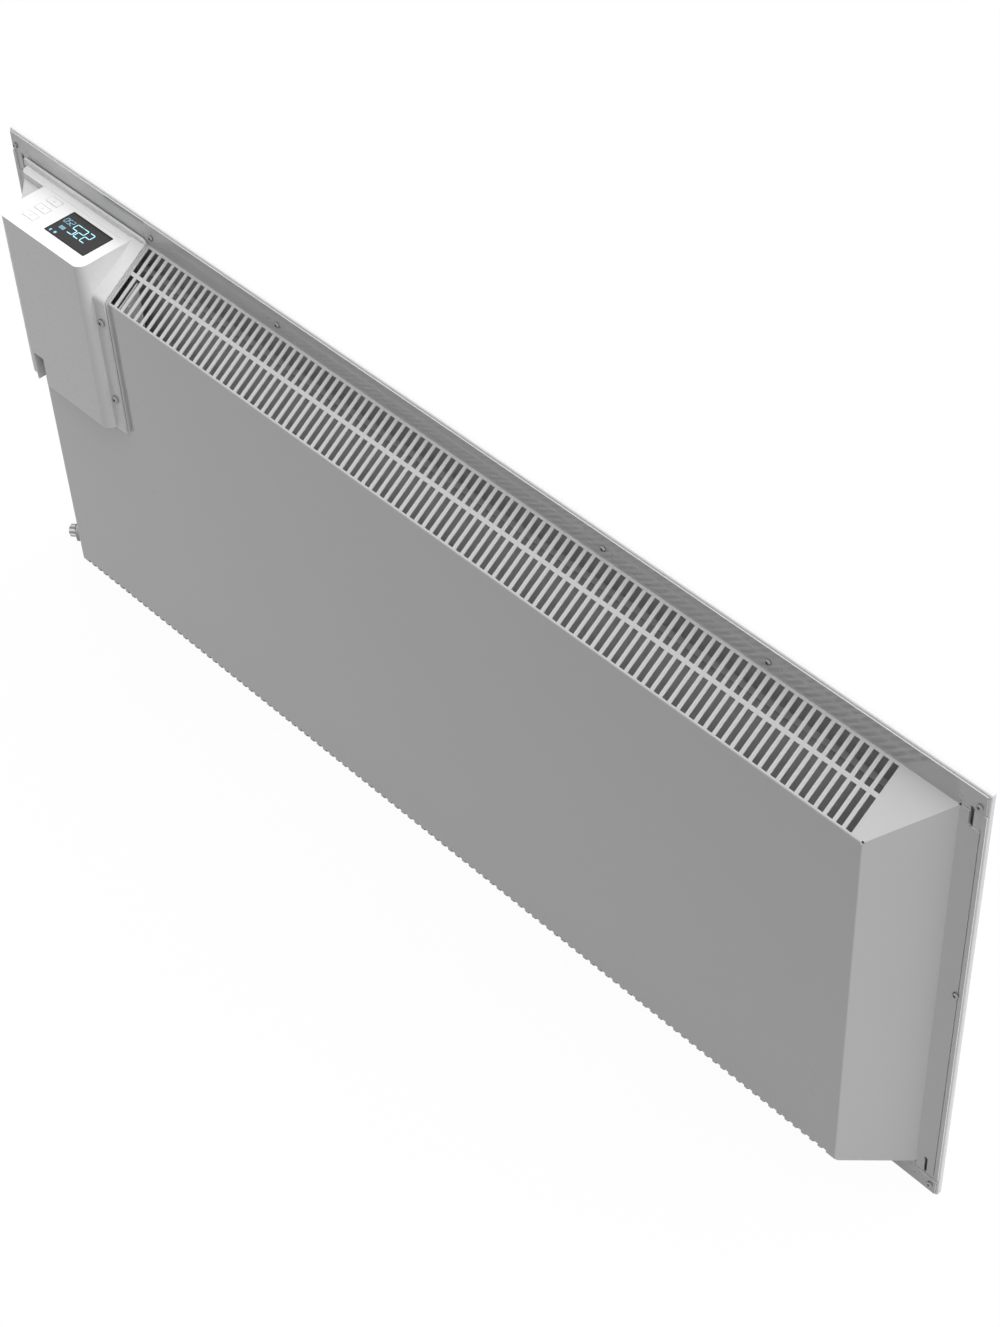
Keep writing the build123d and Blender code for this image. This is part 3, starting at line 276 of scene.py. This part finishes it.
def mesh_object(name, bm):
    """Object from a bmesh, which is freed."""
    mesh = bpy.data.meshes.new(name)
    bm.normal_update()
    bm.to_mesh(mesh)
    bm.free()
    return linked_object(name, mesh)


def add_object(name, bm, material, body):
    """Finished piece from a bmesh, riding on a body."""
    obj = mesh_object(name, bm)
    obj.data.materials.append(material)
    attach(obj, body)
    return obj


def add_band(bm, low, high):
    """Quads between two closed loops of the same number of points."""
    faces = []
    for i in range(len(low)):
        j = (i + 1) % len(low)
        faces.append(bm.faces.new((low[i], low[j], high[j], high[i])))
    return faces


def add_prism(bm, outline, low, high):
    """Closed prism with a flat outline of (x, y) points in metres and two heights."""
    bottom = [bm.verts.new((x, y, low)) for x, y in outline]
    top = [bm.verts.new((x, y, high)) for x, y in outline]
    bm.faces.new(top)
    bm.faces.new(list(reversed(bottom)))
    add_band(bm, bottom, top)


def circle(x, y, radius, steps):
    return [(x + radius * math.cos(2 * math.pi * i / steps), y + radius * math.sin(2 * math.pi * i / steps))
            for i in range(steps)]


def rounded_outline(cx, cy, length, depth, radius, steps=6):
    """Points of a rectangle with round corners."""
    points = []
    for sx, sy, start in ((1, 1, 0), (-1, 1, 90), (-1, -1, 180), (1, -1, 270)):
        for i in range(steps + 1):
            a = math.radians(start + 90 * i / steps)
            points.append((cx + sx * (length / 2 - radius) + radius * math.cos(a),
                           cy + sy * (depth / 2 - radius) + radius * math.sin(a)))
    return points


def add_ring(bm, outer, inner, low, high):
    """Closed flat frame between two outlines with the same number of points."""
    count = len(outer)
    rings = [[bm.verts.new((x, y, z)) for x, y in line] for line in (outer, inner) for z in (low, high)]
    outer_low, outer_high, inner_low, inner_high = rings
    for i in range(count):
        j = (i + 1) % count
        bm.faces.new((outer_low[i], outer_low[j], outer_high[j], outer_high[i]))
        bm.faces.new((inner_low[j], inner_low[i], inner_high[i], inner_high[j]))
        bm.faces.new((outer_high[i], outer_high[j], inner_high[j], inner_high[i]))
        bm.faces.new((outer_low[j], outer_low[i], inner_low[i], inner_low[j]))


# ---------------------------------------------------------------- folded casing
SLOT_PITCH = 6.76 * MM
FIRST_SLOT_X = 272.0 * MM
CAD_SLOT_HALF = 1.7 * MM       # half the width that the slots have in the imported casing
SLOT_HALF = 2.1 * MM           # and the half width that the photograph shows
WALL_MATCH = 0.02 * MM         # how near a point lies to a slot's wall to count as on it
GRILLE_HALF = 385.0 * MM       # no slot or notch lies further out than this
OUTLET_LOW_Z = 130.0 * MM      # the outlet slots lie above this height
OUTLET_Y = (-38.0 * MM, -1.1 * MM)
INLET_Y = -31.0 * MM           # the notches lie behind this plane
NOTCH_TOP = -156.0 * MM        # upper end of the notches along the low back bend, as imported
NOTCH_MATCH = 0.1 * MM
NOTCH_GROWTH = 1.6 * MM


def widened(x, origin):
    """A slot wall's x, moved to the slot's shown width, or None if x isn't on a slot wall."""
    centre = origin + SLOT_PITCH * round((x - origin) / SLOT_PITCH)
    if abs(abs(x - centre) - CAD_SLOT_HALF) > WALL_MATCH:
        return None
    return centre + math.copysign(SLOT_HALF, x - centre)


def folded_casing():
    """The casing with its outlet slots and inlet notches at their full width and depth."""
    mesh = nodes["rear_casing"].data.copy()
    for v in mesh.vertices:
        x, y, z = v.co
        on_outlet = z > OUTLET_LOW_Z and OUTLET_Y[0] < y < OUTLET_Y[1]
        on_inlet = z < NOTCH_TOP + NOTCH_MATCH and y > INLET_Y
        if abs(x) > GRILLE_HALF or not (on_outlet or on_inlet):
            continue
        moved = widened(x, FIRST_SLOT_X if on_outlet else 0.0)
        if moved is None:
            continue
        v.co.x = moved
        if on_inlet and abs(z - NOTCH_TOP) < NOTCH_MATCH:
            v.co.z = z + NOTCH_GROWTH
    obj = linked_object("folded_casing", mesh)
    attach(obj, "heater")
    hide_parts("rear_casing")


LIP_Y = -39.1 * MM             # outer face of the tray's lips, which the casing's flange lies on
LIP_SHEET = 0.8 * MM
LIP_EDGE = 0.08 * MM           # bevel of the tabs' edges
LIP_TAB_X = (406.0 * MM, 410.0 * MM)
LIP_TAB_Z = ((163.6 * MM, 169.9 * MM), (-171.6 * MM, -156.2 * MM))


def add_plate(bm, x, y, z):
    """Flat plate between two limits along each axis, its sharp edges taken off."""
    corners = [bm.verts.new((x[i], y[j], z[k])) for i in (0, 1) for j in (0, 1) for k in (0, 1)]
    for a, b, c, d in ((0, 1, 3, 2), (4, 6, 7, 5), (0, 4, 5, 1), (2, 3, 7, 6), (0, 2, 6, 4), (1, 5, 7, 3)):
        bm.faces.new((corners[a], corners[b], corners[c], corners[d]))
    edges = list({e for v in corners for e in v.link_edges})
    bmesh.ops.bevel(bm, geom=edges, offset=LIP_EDGE, segments=2, affect="EDGES")


def lip_corners():
    """Small tabs of the tray's lips that close its four corners beside the casing's creases."""
    bm = bmesh.new()
    for side in (1, -1):
        for z in LIP_TAB_Z:
            add_plate(bm, sorted(side * x for x in LIP_TAB_X), (LIP_Y - LIP_SHEET, LIP_Y), z)
    add_object("lip_corner_tabs", bm, PANEL_PAINT, "heater")


folded_casing()
lip_corners()

# ---------------------------------------------------------------- screws
CAD_HEAD_HEIGHT = 2.0 * MM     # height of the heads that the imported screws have
WELD = 1e-6
SHARP_EDGE = math.radians(38)  # edges that turn more than this are shaded as sharp

THREAD_PITCH = 0.5 * MM
THREAD_ROOT = 0.84             # radii as shares of the shank's
TIP = 0.7
TIP_LENGTH = 0.3 * MM          # plain lengths below and above the thread
NECK = 0.1 * MM
SCREW_STEPS = 32
DOME_STEPS = 9
DOME_START = 0.30              # heights as shares of the head's
DOME_POWER = 0.8               # below 1 the dome is flatter than a quarter circle
SEAT_RADIUS = 0.96             # sizes as shares of the head's radius
SEAT_CHAMFER = 0.05
CROSS_LENGTH = 0.60
CROSS_WIDTH = 0.17
CROSS_TAPER = 0.62             # the cross is narrower by this at its floor
CROSS_ABOVE = 0.2 * MM         # how far the cutter stands out of the head
CROSS_MATCH = 0.1 * MM         # a face this far under the dome belongs to the recess and takes the painted shade
FIRST_TURN, NEXT_TURN = 23, 41     # degrees that the screws are turned by


def solid_boxes(node):
    """Lowest and highest corner of each separate solid in a node."""
    bm = bmesh.new()
    bm.from_mesh(node.data)
    bmesh.ops.remove_doubles(bm, verts=bm.verts, dist=WELD)
    boxes, seen = [], set()
    for first in bm.verts:
        if first in seen:
            continue
        seen.add(first)
        group, waiting = [], [first]
        while waiting:
            v = waiting.pop()
            group.append(v.co.copy())
            for e in v.link_edges:
                other = e.other_vert(v)
                if other not in seen:
                    seen.add(other)
                    waiting.append(other)
        boxes.append((Vector(min(c[i] for c in group) for i in range(3)),
                      Vector(max(c[i] for c in group) for i in range(3))))
    bm.free()
    return boxes


def add_turned(bm, profile, steps):
    """Closed turned body about Z from (radius, height) points, from the lower centre to the upper one."""
    rings = []
    for radius, height in profile:
        if radius == 0:
            rings.append([bm.verts.new((0, 0, height))])
        else:
            rings.append([bm.verts.new((x, y, height)) for x, y in circle(0, 0, radius, steps)])
    for low, high in zip(rings, rings[1:]):
        if len(low) > 1 and len(high) > 1:
            add_band(bm, low, high)
            continue
        for k in range(steps):
            n = (k + 1) % steps
            bm.faces.new((low[0], high[n], high[k]) if len(low) == 1 else (low[k], low[n], high[0]))


def add_wedge(bm, half_length, half_width, top, bottom, taper):
    """Four sided cutter, narrower at its bottom."""
    low, high = [[bm.verts.new((x * half_length * share, y * half_width * share, z))
                  for x, y in ((-1, -1), (1, -1), (1, 1), (-1, 1))]
                 for z, share in ((bottom, taper), (top, 1.0))]
    bm.faces.new(list(reversed(low)))
    bm.faces.new(high)
    add_band(bm, low, high)


def screw_profile(radius, head_height, shank_radius, length):
    """(radius, height) points of a screw, its head's seat at 0."""
    root = shank_radius * THREAD_ROOT
    profile = [(0, -length), (shank_radius * TIP, -length)]
    for k in range(int((length - 2 * TIP_LENGTH) / THREAD_PITCH)):
        z = -length + TIP_LENGTH + k * THREAD_PITCH
        profile += [(root, z), (shank_radius, z + THREAD_PITCH * 0.5)]
    profile += [(root, -NECK), (root, 0), (radius * SEAT_RADIUS, 0), (radius, radius * SEAT_CHAMFER)]
    edge = head_height * DOME_START
    profile.append((radius, edge))
    for k in range(1, DOME_STEPS):
        a = math.radians(90 * k / DOME_STEPS)
        profile.append((radius * math.cos(a) ** DOME_POWER, edge + (head_height - edge) * math.sin(a)))
    profile.append((0, head_height))
    return profile


def cut_away(body, cutter):
    """Takes the cutter's solid out of the body's mesh for good."""
    cut = body.modifiers.new("cut", "BOOLEAN")
    cut.operation = "DIFFERENCE"
    cut.solver = "EXACT"
    cut.object = cutter
    bpy.context.view_layer.update()
    done = bpy.data.meshes.new_from_object(body.evaluated_get(bpy.context.evaluated_depsgraph_get()))
    body.modifiers.clear()
    body.data = done
    bpy.data.objects.remove(cutter)


def cross_head_screw(radius, head_height, shank_radius, length):
    """Mesh of one domed screw about Z, its head's seat at z = 0, with a cross recess and a thread."""
    bm = bmesh.new()
    add_turned(bm, screw_profile(radius, head_height, shank_radius, length), SCREW_STEPS)
    body = mesh_object("screw_body", bm)
    edge = head_height * DOME_START
    for turn in (0, 90):
        bm = bmesh.new()
        add_wedge(bm, radius * CROSS_LENGTH, radius * CROSS_WIDTH, head_height + CROSS_ABOVE, edge,
                  CROSS_TAPER)
        bmesh.ops.rotate(bm, verts=bm.verts, matrix=Matrix.Rotation(math.radians(turn), 3, "Z"))
        cut_away(body, mesh_object("screw_cutter", bm))
    mesh = body.data
    for face in mesh.polygons:
        x, y, z = face.center
        out = math.hypot(x, y) / radius
        inside = 1 - min(out ** (1 / DOME_POWER), 1.0) ** 2
        dome = edge + (head_height - edge) * math.sqrt(max(inside, 0.0))
        # faces inside the cross recess take the darker steel: painted shade
        face.material_index = int(z > 0 and out < CROSS_LENGTH and z < dome - CROSS_MATCH)
    bpy.data.objects.remove(body)
    return mesh


def screws_from(node_name, piece_name, radius, head_height, shank_radius):
    """Detailed screws along Y where the node's own screws are, heads towards +Y."""
    bm = bmesh.new()
    stand = Matrix.Rotation(math.radians(-90), 4, "X")
    boxes = sorted(solid_boxes(nodes[node_name]), key=lambda box: (box[0].x, box[0].z))
    for k, (low, high) in enumerate(boxes):
        seat = high.y - CAD_HEAD_HEIGHT
        mesh = cross_head_screw(radius, head_height, shank_radius, seat - low.y)
        centre = Vector(((low.x + high.x) / 2, seat, (low.z + high.z) / 2))
        turn = Matrix.Rotation(math.radians(FIRST_TURN + NEXT_TURN * k), 4, "Z")
        mesh.transform(Matrix.Translation(centre) @ stand @ turn)
        bm.from_mesh(mesh)
        bpy.data.meshes.remove(mesh)
    for face in bm.faces:
        face.smooth = True
    for edge in bm.edges:
        edge.smooth = edge.calc_face_angle(0.0) < SHARP_EDGE
    screws = add_object(piece_name, bm, STEEL, "heater")
    # second slot: the darker steel of the recesses, painted shade
    screws.data.materials.append(RECESS_SHADE)
    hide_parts(node_name)


screws_from("perimeter_screws", "cross_head_screws", 2.1 * MM, 1.7 * MM, 1.4 * MM)
screws_from("thermostat_screws", "cross_head_thermostat_screws", 3.0 * MM, 2.0 * MM, 1.5 * MM)

# ---------------------------------------------------------------- lock knob
KNOB_AXIS = (38.3, 32.0, 0.0)  # square to the casing's slanted side, out of it
KNOB_FIT = 0.99                # the knob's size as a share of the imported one's
FLUTES = 8
FLUTE_STEPS = 8
FLUTE_DEPTH = 0.8 * MM
GROOVE_SHADE_START = 0.6             # where the flutes' wave is above this, the darker chrome starts: painted shade in the grooves
KNOB_DOME_STEPS = 8
KNOB_DOME_START = 0.66         # height as a share of the length
KNOB_CAP = 0.42                # radius of the flat end as a share of the knob's
# Shares of radius, length and flute depth at the rings below the dome.
KNOB_RINGS = [(0.96, 0.0, 1.0), (1.0, 0.03, 1.0), (1.0, 0.25, 1.0), (1.0, 0.5, 1.0),
              (1.0, KNOB_DOME_START, 1.0)]


def fluted_knob(radius, length):
    """Turned knob about Z from z = 0 with shallow flutes and a domed free end."""
    steps = FLUTES * FLUTE_STEPS
    rings = list(KNOB_RINGS)
    for k in range(1, KNOB_DOME_STEPS):
        a = math.radians(90 * k / KNOB_DOME_STEPS)
        rings.append((KNOB_CAP + (1 - KNOB_CAP) * math.cos(a),
                      KNOB_DOME_START + (1 - KNOB_DOME_START) * math.sin(a), math.cos(a)))
    bm = bmesh.new()
    loops = []
    for share, height, flute in rings:
        loop = []
        for k in range(steps):
            a = 2 * math.pi * k / steps
            groove = FLUTE_DEPTH * flute * (0.5 - 0.5 * math.cos(FLUTES * a)) ** 2
            r = radius * share - groove
            loop.append(bm.verts.new((r * math.cos(a), r * math.sin(a), length * height)))
        loops.append(loop)
    for low, high in zip(loops, loops[1:]):
        for k, face in enumerate(add_band(bm, low, high)):
            middle = 2 * math.pi * (k + 0.5) / steps
            # faces deep in a flute take the darker chrome: painted shade
            face.material_index = int(0.5 - 0.5 * math.cos(FLUTES * middle) > GROOVE_SHADE_START)
    bm.faces.new(list(reversed(loops[0])))
    bm.faces.new(loops[-1])
    return bm


def lock_knob_piece():
    """The fluted knob in the place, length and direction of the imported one."""
    body = next(body for body, members in frame["record"]["behaviour"]["bodies"].items()
                if "lock_knob" in members)
    points = [v.co.copy() for v in nodes["lock_knob"].data.vertices]
    out = Vector(KNOB_AXIS).normalized()
    middle = sum(points, Vector()) / len(points)
    reach = [(p - middle).dot(out) for p in points]
    radius = max(((p - middle) - out * (p - middle).dot(out)).length for p in points)
    bm = fluted_knob(radius * KNOB_FIT, (max(reach) - min(reach)) * KNOB_FIT)
    place = Matrix.Translation(middle + out * min(reach)) @ out.to_track_quat("Z", "Y").to_matrix().to_4x4()
    bmesh.ops.transform(bm, matrix=place, verts=bm.verts)
    for face in bm.faces:
        face.smooth = len(face.verts) == 4
    knob = add_object("fluted_lock_knob", bm, CHROME, body)
    knob.data.materials.append(CHROME_GROOVE_SHADE)
    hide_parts("lock_knob")


lock_knob_piece()

# ---------------------------------------------------------------- display
SEGMENTS = {"2": "abged", "5": "afgcd", "0": "abcdef"}
SEGMENT_ENDS = {"a": ((0, 1), (1, 1)), "b": ((1, 1), (1, 0.5)), "c": ((1, 0.5), (1, 0)),
                "d": ((0, 0), (1, 0)), "e": ((0, 0.5), (0, 0)), "f": ((0, 1), (0, 0.5)),
                "g": ((0, 0.5), (1, 0.5))}
SEGMENT_GAP = 0.12             # gap at a segment's ends as a share of its width

# Places and sizes on the window, in millimetres of the shared frame.
BIG_DIGITS = (("2", 308.0), ("2", 314.6), ("5", 321.2))
BIG_SIZE = (4.9, 9.8, 0.68)    # width, height and stroke
POINT = (320.35, -19.9, 0.42)  # x, y and radius of the decimal point
POINT_STEPS = 12
SMALL_DIGITS = (("2", 328.6), ("5", 331.7), ("0", 334.8))
SMALL_SIZE = (2.2, 4.4, 0.40)
DIGIT_Y = -19.9
BAR_COUNT = 4
BAR_FIRST, BAR_PITCH, BAR_WIDTH = 329.4, 1.3, 0.7
BAR_Y = (-12.2, -9.2)
DOT = (331.3, -4.4, 1.15)
DOT_STEPS = 20
ARROW_CENTRE = (335.9, -4.2)
ARROW = ((-1.3, -0.2), (0.0, -1.3), (1.3, -0.2), (0.55, -0.2), (0.55, 1.1), (-0.55, 1.1), (-0.55, -0.2))
MARK_SUNK, MARK_PROUD = 0.05 * MM, 0.08 * MM
BORDER_PROUD = 0.06 * MM
BORDER_OUTER = (0.1 * MM, 0.8 * MM)    # how much smaller than the window, and its corners' radius
BORDER_INNER = (1.5 * MM, 0.5 * MM)


def segment_outline(p, q, width, gap):
    """Six sided bar between two points, pointed at both ends."""
    p, q = Vector(p), Vector(q)
    along = (q - p).normalized()
    across = Vector((-along.y, along.x)) * width / 2
    a, b = p + along * gap, q - along * gap
    tip = along * width / 2
    return [tuple(v) for v in (a, a + tip - across, b - tip - across, b, b - tip + across, a + tip + across)]


def add_digits(bm, digits, size, low, high):
    """Segment digits with their lower left corners at the given places."""
    width, height, stroke = (s * MM for s in size)
    for digit, place in digits:
        x, y = place * MM, DIGIT_Y * MM
        for segment in SEGMENTS[digit]:
            (ax, ay), (bx, by) = SEGMENT_ENDS[segment]
            p, q = (x + ax * width, y + ay * height), (x + bx * width, y + by * height)
            add_prism(bm, segment_outline(p, q, stroke, stroke * SEGMENT_GAP), low, high)


def display_marks():
    """The lit digits and marks, and the dark border round the window."""
    window_low, window_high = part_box("display_window")
    deck = window_high.z
    centre = (window_low + window_high) / 2
    half = (window_high - window_low) / 2
    low, high = deck - MARK_SUNK, deck + MARK_PROUD

    bm = bmesh.new()
    add_digits(bm, BIG_DIGITS, BIG_SIZE, low, high)
    add_prism(bm, circle(*(v * MM for v in POINT), POINT_STEPS), low, high)
    add_object("display_digits", bm, DIGIT_LIGHT, "heater")

    bm = bmesh.new()
    add_digits(bm, SMALL_DIGITS, SMALL_SIZE, low, high)
    for i in range(BAR_COUNT):
        left = BAR_FIRST + BAR_PITCH * i
        right = BAR_FIRST + BAR_WIDTH + BAR_PITCH * i
        bar = ((left, BAR_Y[0]), (right, BAR_Y[0]), (right, BAR_Y[1]), (left, BAR_Y[1]))
        add_prism(bm, [(x * MM, y * MM) for x, y in bar], low, high)
    add_prism(bm, circle(*(v * MM for v in DOT), DOT_STEPS), low, high)
    add_prism(bm, [((ARROW_CENTRE[0] + dx) * MM, (ARROW_CENTRE[1] + dy) * MM) for dx, dy in ARROW], low, high)
    add_object("display_small_marks", bm, SMALL_LIGHT, "heater")

    bm = bmesh.new()
    outer, inner = [rounded_outline(centre.x, centre.y, 2 * half.x - less, 2 * half.y - less, radius)
                    for less, radius in (BORDER_OUTER, BORDER_INNER)]
    add_ring(bm, outer, inner, deck - MARK_SUNK, deck + BORDER_PROUD)
    add_object("display_border", bm, WINDOW_EDGE, "heater")


display_marks()

# ---------------------------------------------------------------- key marks
KEY_MARK_RADII = (0.62 * MM, 0.30 * MM)
KEY_MARK_HALF = 0.05 * MM
KEY_MARK_STEPS = 20

for i in (1, 2, 3):
    key_low, key_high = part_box(f"key_{i}")
    centre = (key_low + key_high) / 2
    bm = bmesh.new()
    outer, inner = [circle(centre.x, centre.y, radius, KEY_MARK_STEPS) for radius in KEY_MARK_RADII]
    add_ring(bm, outer, inner, key_high.z - KEY_MARK_HALF, key_high.z + KEY_MARK_HALF)
    add_object(f"key_mark_{i}", bm, MARK_GREY, f"key_{i}")

# ---------------------------------------------------------------- floor and light
SKY_LEVEL = 0.06                     # sky brightness level with the horizon, on the average
SKY_SLOPE = (-0.72, -1.22, 1.80)     # how it grows towards x, y and z
SKY_DARKEST = 0.03
SKY_RANGE = 2.0                      # the growth is followed up to this
FLOOR_BOUNCE = 0.18                  # how much the floor gives back to the object
FLOOR_SHOWN = 0.9                    # the floor's colour where it is seen
FLOOR_GLOW = 0.97                    # share of its own white there, and the rest takes the object's shadow
FLOOR_HALF = 30.0
FLOOR_GAP = 0.0002


def largest(tree, first, second):
    node = tree.nodes.new("ShaderNodeMath")
    node.operation = "MAXIMUM"
    tree.links.new(first, node.inputs[0])
    tree.links.new(second, node.inputs[1])
    return node.outputs[0]


def seen_directly(tree):
    """1 for camera, glossy and transmission rays, which meet the white surroundings, and 0 for the rest."""
    path = tree.nodes.new("ShaderNodeLightPath")
    either = largest(tree, path.outputs["Is Glossy Ray"], path.outputs["Is Transmission Ray"])
    return largest(tree, path.outputs["Is Camera Ray"], either)


def shader_node(tree, kind, level):
    """Shader of one grey level."""
    node = tree.nodes.new(kind)
    node.inputs["Color"].default_value = (level, level, level, 1)
    return node


def mixed_shaders(tree, first, second):
    """The Mix Shader of two shader nodes."""
    node = tree.nodes.new("ShaderNodeMixShader")
    tree.links.new(first.outputs[0], node.inputs[1])
    tree.links.new(second.outputs[0], node.inputs[2])
    return node


def floor_material():
    """White where it is seen, with the object's shadow, and a dimmer bounce onto the object."""
    m = bpy.data.materials.new("floor_white")
    m.use_nodes = True
    tree = m.node_tree
    tree.nodes.clear()
    out = tree.nodes.new("ShaderNodeOutputMaterial")
    glow = shader_node(tree, "ShaderNodeEmission", 1)
    glow.inputs["Strength"].default_value = 1.0
    shadowed = mixed_shaders(tree, shader_node(tree, "ShaderNodeBsdfDiffuse", FLOOR_SHOWN), glow)
    shadowed.inputs["Fac"].default_value = FLOOR_GLOW
    mix = mixed_shaders(tree, shader_node(tree, "ShaderNodeBsdfDiffuse", FLOOR_BOUNCE), shadowed)
    tree.links.new(seen_directly(tree), mix.inputs["Fac"])
    tree.links.new(mix.outputs[0], out.inputs["Surface"])
    return m


def add_floor():
    z = cad_box[0][2] - FLOOR_GAP
    mesh = bpy.data.meshes.new("floor")
    mesh.from_pydata([(x * FLOOR_HALF, y * FLOOR_HALF, z) for x, y in ((-1, -1), (1, -1), (1, 1), (-1, 1))],
                     [], [(0, 1, 2, 3)])
    mesh.materials.append(floor_material())
    linked_object("floor", mesh)


def add_sky():
    """Soft light that grows along one slope, with white for the rays that see it directly."""
    world = bpy.data.worlds.new("studio")
    bpy.context.scene.world = world
    world.use_nodes = True
    tree = world.node_tree
    tree.nodes.clear()
    out = tree.nodes.new("ShaderNodeOutputWorld")
    coords = tree.nodes.new("ShaderNodeTexCoord")
    towards = tree.nodes.new("ShaderNodeVectorMath")
    towards.operation = "DOT_PRODUCT"
    towards.inputs[1].default_value = SKY_SLOPE
    tree.links.new(coords.outputs["Generated"], towards.inputs[0])
    level = tree.nodes.new("ShaderNodeMapRange")
    level.inputs["From Min"].default_value = SKY_DARKEST - SKY_LEVEL
    level.inputs["From Max"].default_value = SKY_RANGE
    level.inputs["To Min"].default_value = SKY_DARKEST
    level.inputs["To Max"].default_value = SKY_LEVEL + SKY_RANGE
    tree.links.new(towards.outputs["Value"], level.inputs["Value"])
    soft = shader_node(tree, "ShaderNodeBackground", 1)
    tree.links.new(level.outputs["Result"], soft.inputs["Strength"])
    white = shader_node(tree, "ShaderNodeBackground", 1)
    white.inputs["Strength"].default_value = 1.0
    mix = mixed_shaders(tree, soft, white)
    tree.links.new(seen_directly(tree), mix.inputs["Fac"])
    tree.links.new(mix.outputs[0], out.inputs["Surface"])


add_floor()
add_sky()

# ---------------------------------------------------------------- camera
CAMERA_PLACE = (-0.94533, 0.74122, 1.24692)
CAMERA_RIGHT = (-0.685965, -0.726568, -0.039371)
CAMERA_UP = (0.506194, -0.515377, 0.691487)
CAMERA_BACK = (-0.522704, 0.454406, 0.721315)
LENS, SENSOR = 74.01, 36.0           # millimetres
CLIP = (0.05, 100.0)

camera_data = bpy.data.cameras.new("camera")
camera_data.lens = LENS
camera_data.sensor_width = SENSOR
camera_data.clip_start, camera_data.clip_end = CLIP
camera = linked_object("camera", camera_data)
rotation = Matrix((CAMERA_RIGHT, CAMERA_UP, CAMERA_BACK)).transposed().to_4x4()
camera.matrix_world = Matrix.Translation(CAMERA_PLACE) @ rotation
bpy.context.scene.camera = camera
bpy.context.scene.view_settings.view_transform = "Standard"
